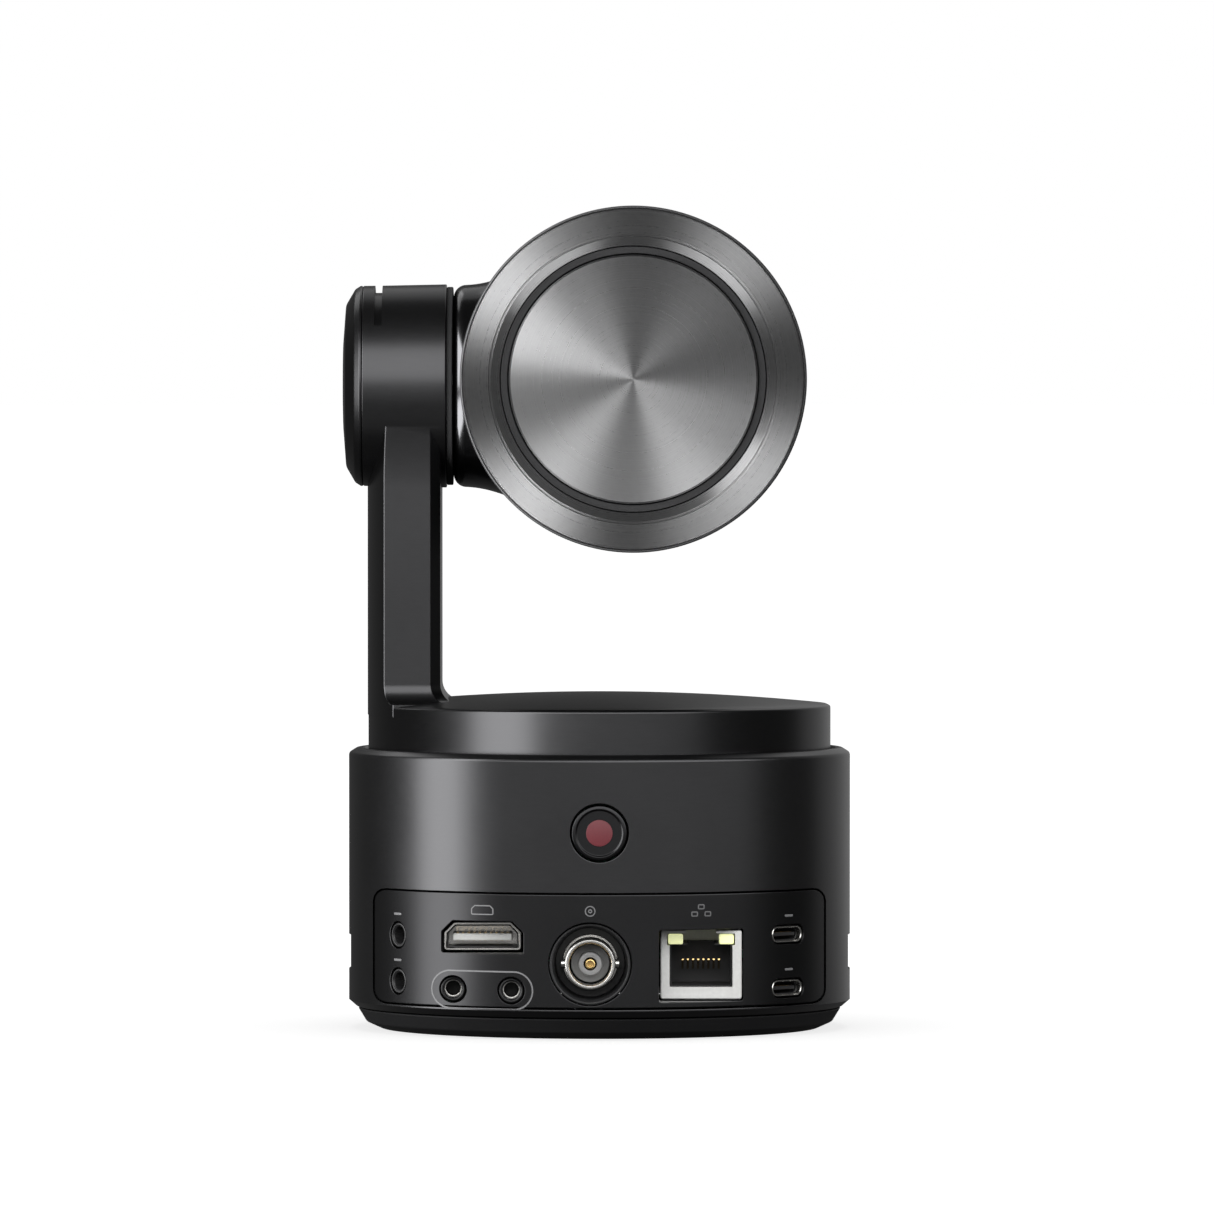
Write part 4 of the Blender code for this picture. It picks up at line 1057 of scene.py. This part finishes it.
def arm_section(height, flare, widening=0):
    """The arm's cross-section, round outside and chamfered inside. Flare also moves the inner side."""
    half = ARM_HALF_WIDTH + flare + widening
    reach = math.asin(half / ARM_RADIUS)
    steps = 20
    corners = []
    for step in range(steps + 1):
        turn = math.pi - reach + 2 * reach * step / steps
        edge = 0.45 if step in (0, steps) else 0
        corners.append((ARM_RADIUS * math.cos(turn), ARM_RADIUS * math.sin(turn), edge))
    inner = -ARM_INNER + flare
    corners += [
        (inner - ARM_CHAMFER, -half, 0.35), (inner, -half + ARM_CHAMFER, 0.35),
        (inner, half - ARM_CHAMFER, 0.35), (inner - ARM_CHAMFER, half, 0.35),
    ]
    return [Vector((x, y, height)) for x, y in rounded(corners, steps=3)]


def make_arm():
    foot = TABLE_EDGE + 0.4
    steps = 10
    sections = [arm_section(TABLE_EDGE - 2, ARM_FILLET)]
    for step in range(steps + 1):
        turn = math.pi / 2 * step / steps
        flare = ARM_FILLET * (1 - math.sin(turn))
        sections.append(arm_section(foot + ARM_FILLET * (1 - math.cos(turn)), flare))
    blend_low, blend_high, blend = TILT_HEIGHT - 20, TILT_HEIGHT - 3, 1.6
    for step in range(steps + 1):
        share = step / steps
        height = blend_low + (blend_high - blend_low) * share
        sections.append(arm_section(height, 0, blend * (1 - math.cos(math.pi / 2 * share))))
    bm = bmesh.new()
    rings = [[bm.verts.new(point) for point in section] for section in sections]
    lofted(bm, rings, capped=True)
    return tidied(bm)


def make_yoke():
    """One casting: the turntable with its shallow dome, the arm, and the housing of the tilt motor."""
    dome_rim = TABLE_RADIUS - 0.8
    crown = 2.3
    dome = []
    for step in range(13):
        share = step / 12
        dome.append((dome_rim * share, TABLE_EDGE + 0.1 + crown * (1 - share**2), 0))
    inner_floor = 61.6
    table = turned(dome + [
        (TABLE_RADIUS, TABLE_EDGE - 0.3, 0.5), (TABLE_RADIUS, TABLE_LOW, 0.2), (43.5, TABLE_LOW, 0),
        (43.5, inner_floor, 0), (0, inner_floor, 0),
    ], closed=False)
    body = combined(table, make_arm(), "UNION")
    housing = turned([
        (0, HOUSING_LEFT, 0), (20.0, HOUSING_LEFT, 0.25), (20.05, HOUSING_LEFT + 4, 0),
        (20.3, HOUSING_RIGHT - 0.4, 0), (20.3, HOUSING_RIGHT, 0.2), (0, HOUSING_RIGHT, 0),
    ], TILT_AXIS, HOUSING, closed=False)
    body = combined(body, housing, "UNION")
    channel = slab(rectangle(5, 10, 0, (-39.5, 0), 1), inner_floor - 2, 115, 0.01)
    body = combined(body, channel, "DIFFERENCE")
    slot_half = 53
    slot_steps = 30
    groove = bmesh.new()
    section = [(18.6, -44.8), (22, -44.8), (22, -43.3), (18.6, -43.3)]
    rings = []
    for step in range(slot_steps + 1):
        turn = math.radians(180 - slot_half + 2 * slot_half * step / slot_steps)
        places = [Vector((r * math.cos(turn), r * math.sin(turn), h)) for r, h in section]
        rings.append([groove.verts.new(TILT_AXIS @ place) for place in places])
    lofted(groove, rings, capped=True)
    body = combined(body, tidied(groove), "DIFFERENCE")
    web = -33.6
    boss, boss_end, shaft_bore = 11.0, -43.5, 8.9
    hollow = lathe([
        (0, HOUSING_LEFT - 1), (HOUSING_BORE, HOUSING_LEFT - 1), (HOUSING_BORE, web), (boss, web),
        (boss, boss_end), (shaft_bore, boss_end), (shaft_bore, HOUSING_RIGHT + 1), (0, HOUSING_RIGHT + 1),
    ], TILT_AXIS, MEDIUM, closed=False)
    body = combined(body, hollow, "DIFFERENCE")
    piece("yoke_casting", tidied(body), "shell_metal", "pan", ["yoke"])


def make_arm_pieces():
    """The domed cap at the arm's outer side, and the dark seal between the arm and the neck."""
    left = low_of("tilt_end_cap").x
    right = HOUSING_LEFT - 0.05
    cap = rounded([
        (0, left, 0), (9, left + 0.15, 3), (16.2, left + 0.7, 2.0), (19.3, left + 2.5, 1.2),
        (20.0, left + 3.6, 0.4), (20.0, right, 0.2), (HOUSING_BORE - 0.3, right, 0.1),
        (HOUSING_BORE - 0.3, -46.4, 0.1), (15.8, -46.4, 0.1), (15.8, -48.6, 0), (0, -48.6, 0),
    ], closed=False)
    piece("arm_cap", lathe(cap, TILT_AXIS, HOUSING, False), "shell_metal", "pan", ["tilt_end_cap"])
    low, high = low_of("tilt_seal_ring").x - 0.25, high_of("tilt_seal_ring").x + 0.1
    outer = 19.8
    seal = rounded([(outer, low, 0.2), (outer, high, 0.2), (14, high, 0), (14, low, 0)])
    piece("neck_seal", lathe(seal, TILT_AXIS, HOUSING), "black_plastic", "pan", ["tilt_seal_ring"],
          FINISH["rubber"])


# ---------------- head


HEAD_RADIUS = RING_RADIUS - 0.3
DRUM_BACK = low_of("head_housing").y
DRUM_FRONT = high_of("head_housing").y
NECK_LEFT = low_of("head_housing").x
HEAD_PIECES = (
    "head_drum", "neck_seal", "rear_groove", "rear_rim", "lens_collar", "lens_bezel", "cover_glass",
    "barrel", "first_element",
)


def make_head_housing():
    """Polished neck that flares into the drum."""
    drum = turned([
        (0, DRUM_BACK, 0), (HEAD_RADIUS, DRUM_BACK, 0.9), (HEAD_RADIUS, DRUM_FRONT, 0.4), (0, DRUM_FRONT, 0),
    ], OPTICAL_AXIS, closed=False)
    neck_radius, shoulder, length = 20.2, 2.5, 15.7
    left = NECK_LEFT - 0.2
    outline = [(0, left)]
    for step in range(13):
        turn = math.pi / 2 * step / 12
        outline.append((neck_radius - shoulder + shoulder * math.sin(turn),
                        left + shoulder - shoulder * math.cos(turn)))
    for step in range(1, 15):
        share = step / 14
        rise = 3.5 * (1 - math.cos(math.pi / 2 * share)) + 0.5 * share
        outline.append((neck_radius + rise, left + shoulder + (length - shoulder) * share))
    end = left + length + 1.5
    neck = lathe(outline + [(24.2, end), (0, end)], TILT_AXIS, HOUSING, closed=False)
    head = combined(drum, neck, "UNION")
    back_wall, bore = -23.6, 31.1
    boss, boss_end, shaft_bore = 11.0, -14.0, 8.9
    hollow = lathe([
        (0, DRUM_FRONT + 1), (bore, DRUM_FRONT + 1), (bore, back_wall), (boss, back_wall),
        (boss, boss_end), (shaft_bore, boss_end), (shaft_bore, back_wall), (0, back_wall),
    ][::-1], OPTICAL_AXIS, MEDIUM, closed=False)
    head = combined(head, hollow, "DIFFERENCE")
    passage = slab(circle(6.5, SMALL), -32, -18, 0.01, TILT_AXIS)
    head = combined(head, passage, "DIFFERENCE")
    piece("head_drum", tidied(head), "shell_metal", "tilt", ["head_housing"], POLISHED)


def make_rear():
    """The spun ring with its bevelled inner edge, and the spun disc it surrounds."""
    back, front = low_of("rear_ring").y, high_of("rear_ring").y
    edge = RING_RADIUS - 0.55
    ring = turned([
        (26.4, back + 1.4, 0.15), (28.25, back + 0.15, 0.15), (28.35, back + 0.4, 0), (28.6, back + 0.4, 0),
        (28.65, back + 0.05, 0.1), (edge - 0.2, back + 0.15, 0.1), (edge, back + 0.4, 0.1),
        (edge, front, 0.1), (26.4, front, 0.1),
    ], OPTICAL_AXIS)
    piece("rear_bezel", ring, "spun_metal", "tilt", ["rear_ring"])
    rim = turned([
        (edge + 0.1, back + 0.5, 0.05), (RING_RADIUS - 0.2, back + 0.5, 0.2), (RING_RADIUS, back + 1.0, 0.2),
        (RING_RADIUS, front, 0.1), (edge + 0.1, front, 0),
    ], OPTICAL_AXIS)
    piece("rear_rim", rim, "black_plastic", "tilt")
    back, front = low_of("rear_disc").y, high_of("rear_disc").y
    crown = 1.1
    back -= 0.6
    face = [(24.3 * step / 16, back + crown * (step / 16) ** 2) for step in range(17)]
    disc = lathe(face + [(24.6, back + crown + 0.3), (24.6, front), (0, front)], OPTICAL_AXIS, closed=False)
    piece("rear_plate", disc, "spun_metal", "tilt", ["rear_disc"], SPUN_DISC)
    floor = turned([
        (24.9, back + 1.7, 0.1), (26.2, back + 1.7, 0.1), (26.2, front, 0), (24.9, front, 0),
    ], OPTICAL_AXIS)
    piece("rear_groove", floor, "black_plastic", "tilt", finish=FINISH["rubber"])


def make_lens_housing():
    """The turning collar, and the tube that carries the barrel."""
    back, front = 25.4, high_of("lens_housing").y
    outer = HEAD_RADIUS
    collar = turned([
        (30.5, back, 0.1), (outer, back, 0.3), (outer, front - 1.2, 0.6), (33.0, front, 0.3),
        (31.9, front, 0.1), (31.9, 33.0, 0.1), (28.6, 33.0, 0.1), (28.6, -9.6, 0), (8.9, -9.6, 0),
        (8.9, -11.5, 0), (30.5, -11.5, 0.1),
    ], OPTICAL_AXIS)
    piece("lens_collar", collar, "shell_metal", "roll", ["lens_housing"])


def make_front():
    """Front bezel, cover glass, and the stepped black baffle round the first element."""
    front = high_of("front_bezel").y
    bezel = turned([
        (31.6, 33.3, 0.1), (31.6, front - 0.6, 0.3), (30.6, front, 0.3), (28.2, front, 0.6),
        (20.4, front - 3.0, 0.3), (20.4, 32.0, 0.1), (25.0, 32.0, 0), (25.0, 33.3, 0),
    ], OPTICAL_AXIS)
    piece("lens_bezel", bezel, "gloss_black", "roll", ["front_bezel"])
    low, high = low_of("front_glass").y, high_of("front_glass").y
    pane = []
    for step in range(11):
        share = step / 10
        pane.append((20.1 * share, high - 0.8 * share**2))
    glass = lathe(pane + [(20.1, low), (0, low)], OPTICAL_AXIS, LENS, closed=False)
    piece("cover_glass", glass, "glass", "roll", ["front_glass"])
    barrel = turned([
        (17.2, -6.2, 0), (19.0, -6.2, 0), (19.0, 27.0, 0), (28.3, 27.0, 0.1), (28.3, 28.6, 0.2),
        (24.5, 28.6, 0.1), (24.2, 28.2, 0.1), (22.0, 28.2, 0.1), (21.7, 28.6, 0.1), (19.6, 28.6, 0.1),
        (19.6, 30.8, 0.3), (17.6, 30.8, 0.2), (17.2, 30.2, 0.1),
    ], OPTICAL_AXIS, BARREL)
    piece("barrel", barrel, "black_plastic", "roll", ["lens_barrel"])
    low, high = low_of("front_element").y, high_of("front_element").y
    edge = 26.0
    crown = [(16.9 * step / 12, edge + (high - edge) * (1 - (step / 12) ** 2)) for step in range(13)]
    hollow = [(16.9 * step / 12, 23.5 - (23.5 - low) * (1 - (step / 12) ** 2)) for step in range(12, -1, -1)]
    element = lathe(crown + hollow, OPTICAL_AXIS, LENS, closed=False)
    piece("first_element", element, "glass", "roll", ["front_element"], COATED)


# ---------------- stage


FRAME_WIDTH = 242.8 * MM
VIEW_DISTANCE = 2.4
VIEW_ELEVATION = math.radians(1.2)
VIEW_TARGET = Vector((1.5, 0, 84.0)) * MM
LIGHT_TARGET = Vector((0, 0, 90.0)) * MM
SPUN_CENTRE = Vector((OPTICAL.x, 0, OPTICAL.z)) * MM
WORLD_GLOW = 0.07


def bearing(azimuth, elevation):
    """A direction, with azimuth turned from -Y towards +X, in degrees."""
    turn, rise = math.radians(azimuth), math.radians(elevation)
    return Vector((math.sin(turn) * math.cos(rise), -math.cos(turn) * math.cos(rise), math.sin(rise)))


def softbox(name, place, width, height, radiance, receivers, middle=LIGHT_TARGET):
    """A rectangular light that faces the object, brighter towards its middle, for some pieces only."""
    shares = (1.0, 0.75, 0.5)
    for index, share in enumerate(shares):
        light = bpy.data.lights.new(f"{name}_{index}", "AREA")
        light.shape = "RECTANGLE"
        light.size, light.size_y = width * share, height * share
        light.energy = radiance / len(shares) * math.pi * light.size * light.size_y
        holder = bpy.data.objects.new(f"{name}_{index}", light)
        holder.location = place
        holder.rotation_euler = (place - middle).to_track_quat("Z", "Y").to_euler()
        holder.visible_camera = False
        holder.light_linking.receiver_collection = receivers
        bpy.context.scene.collection.objects.link(holder)


def around(azimuth, elevation, distance):
    return LIGHT_TARGET + bearing(azimuth, elevation) * distance


def beside_the_disc(turn, tilt, distance=1.2):
    """A place tilted off the optical axis, and turned about it from +X towards +Z."""
    turn, tilt = math.radians(turn), math.radians(tilt)
    sideways = Vector((math.cos(turn), 0, math.sin(turn))) * math.sin(tilt)
    return SPUN_CENTRE + (sideways + Vector((0, -math.cos(tilt), 0))) * distance


def grouped(name, chosen):
    """A collection of the pieces that share a set of lights."""
    group = bpy.data.collections.new(name)
    for item in chosen:
        group.objects.link(item)
    return group


def make_lights():
    """Soft lights, each for one group of pieces only. The spun metal's are beside the optical axis."""
    members = {
        "floor": ("floor",), "disc": ("rear_plate",), "ring": ("rear_bezel",),
        "table": ("yoke_casting", "arm_cap"), "head": HEAD_PIECES,
    }
    pieces = [item for item in bpy.context.scene.objects if item.type == "MESH"]
    placed = [name for names in members.values() for name in names]
    members["base"] = [item.name for item in pieces if item.name not in placed]
    floor, disc, ring, table, head, base = (
        grouped(f"lit_{name}", [item for item in pieces if item.name in names])
        for name, names in members.items()
    )
    for group, name, place, width, height, radiance in (
        (base, "strip", around(-76, 12, 1.3), 0.66, 1.6, 22.0),
        (base, "fill", around(17, 27, 1.5), 5.0, 1.1, 9.0),
        (base, "low", around(17, 4, 1.5), 5.2, 0.7, 0.95),
        (table, "strip", around(-49, 12, 1.3), 0.76, 1.6, 19.5),
        (table, "fill", around(8, 28, 1.5), 2.6, 1.1, 9.5),
        (table, "low", around(8, 2, 1.5), 2.9, 0.9, 0.95),
        (table, "bounce", around(0, -38, 1.4), 1.2, 0.7, 0.6),
        (head, "strip", around(-60, 22, 1.3), 1.5, 1.0, 40.0),
        (head, "bounce", around(-58, -26, 1.3), 1.4, 0.8, 44.0),
        (head, "fill", around(12, 27, 1.5), 3.0, 1.1, 7.0),
    ):
        softbox(f"{group.name}_{name}", place, width, height, radiance, group)
    for group in (base, table, head, disc, ring):
        softbox(f"{group.name}_rear", around(146, 18, 1.6), 1.9, 1.5, 1.0, group)
        softbox(f"{group.name}_high", around(170, 48, 1.7), 1.6, 1.0, 1.6, group)
        softbox(f"{group.name}_lens", around(215, 40, 1.8), 0.9, 0.7, 4.0, group)
    flat, bevel = 26, 68
    for group, name, turn, tilt, size, radiance in (
        (disc, "left", 155, flat, 0.32, 25.0), (disc, "low_left", 230, flat, 0.32, 13.5),
        (disc, "low_right", 301, flat, 0.32, 13.5), (disc, "fill", 235, flat, 1.2, 1.4),
        (ring, "left", 145, flat, 0.32, 34.0), (ring, "low_left", 229, flat, 0.32, 30.0),
        (ring, "low_right", 300, flat, 0.32, 10.0),
        (ring, "bevel_right", 308, bevel, 0.8, 5.0), (ring, "bevel_low", 232, bevel, 0.8, 4.0),
        (ring, "bevel_high", 140, bevel, 0.55, 6.0),
    ):
        softbox(f"{group.name}_{name}", beside_the_disc(turn, tilt), size, size, radiance, group, SPUN_CENTRE)
    softbox("floor_top", around(0, 89, 1.4), 1.2, 1.2, 1.5, floor)


def make_world():
    world = bpy.data.worlds.new("studio")
    world.use_nodes = True
    tree = world.node_tree
    background = tree.nodes["Background"]
    rays = tree.nodes.new("ShaderNodeLightPath")
    strength = tree.nodes.new("ShaderNodeMapRange")
    strength.inputs["To Min"].default_value = WORLD_GLOW
    strength.inputs["To Max"].default_value = 1.0
    tree.links.new(rays.outputs["Is Camera Ray"], strength.inputs["Value"])
    tree.links.new(strength.outputs["Result"], background.inputs["Strength"])
    background.inputs["Color"].default_value = (1, 1, 1, 1)
    bpy.context.scene.world = world


def make_floor():
    """A wide pale floor that fades to white away from the object."""
    bm = bmesh.new()
    rings = [[bm.verts.new((0, 0, 0))]]
    for radius in (0.3, 0.8, 2.0, 6.0, 30.0):
        rings.append([bm.verts.new((x, y, 0)) for x, y in circle(radius, 64)])
    lofted(bm, rings)
    mesh = bpy.data.meshes.new("floor")
    tidied(bm).to_mesh(mesh)
    graph = Graph("floor")
    coordinates = graph.add("ShaderNodeTexCoord")
    radius = graph.add("ShaderNodeVectorMath", {0: coordinates.outputs["Object"]}, operation="LENGTH")
    glow = graph.add("ShaderNodeMapRange", {
        "Value": radius.outputs["Value"], "From Min": 0.045, "From Max": 0.14, "To Min": 0.8, "To Max": 1.0,
    })
    mottle = graph.noise(6, detail=3)
    graph.link(graph.tone(mottle, (0.78, 0.78, 0.78), (0.82, 0.82, 0.82)), "Base Color")
    graph.link(glow.outputs["Result"], "Emission Strength")
    graph.set(Roughness=0.8, Specular_IOR_Level=0.0, Emission_Color=(1, 1, 1, 1))
    mesh.materials.append(graph.material)
    floor = bpy.data.objects.new("floor", mesh)
    floor.visible_glossy = False
    floor.visible_diffuse = False
    floor.visible_shadow = False
    bpy.context.scene.collection.objects.link(floor)


def make_camera():
    camera = bpy.data.cameras.new("camera")
    camera.lens = camera.sensor_width * VIEW_DISTANCE / FRAME_WIDTH
    camera.clip_start, camera.clip_end = 0.1, 60
    holder = bpy.data.objects.new("camera", camera)
    back = Vector((0, -math.cos(VIEW_ELEVATION), math.sin(VIEW_ELEVATION)))
    holder.location = VIEW_TARGET + back * VIEW_DISTANCE
    holder.rotation_euler = back.to_track_quat("Z", "Y").to_euler()
    bpy.context.scene.collection.objects.link(holder)
    bpy.context.scene.camera = holder
    bpy.context.scene.view_settings.view_transform = "Standard"


finish_carried_nodes()
make_foot()
make_bottom()
make_shell()
make_panel()
make_markings()
make_button()
make_video_port()
make_network_jack()
make_coax()
make_jacks()
make_usb_ports()
make_yoke()
make_arm_pieces()
make_head_housing()
make_rear()
make_lens_housing()
make_front()
make_floor()
make_world()
make_lights()
make_camera()
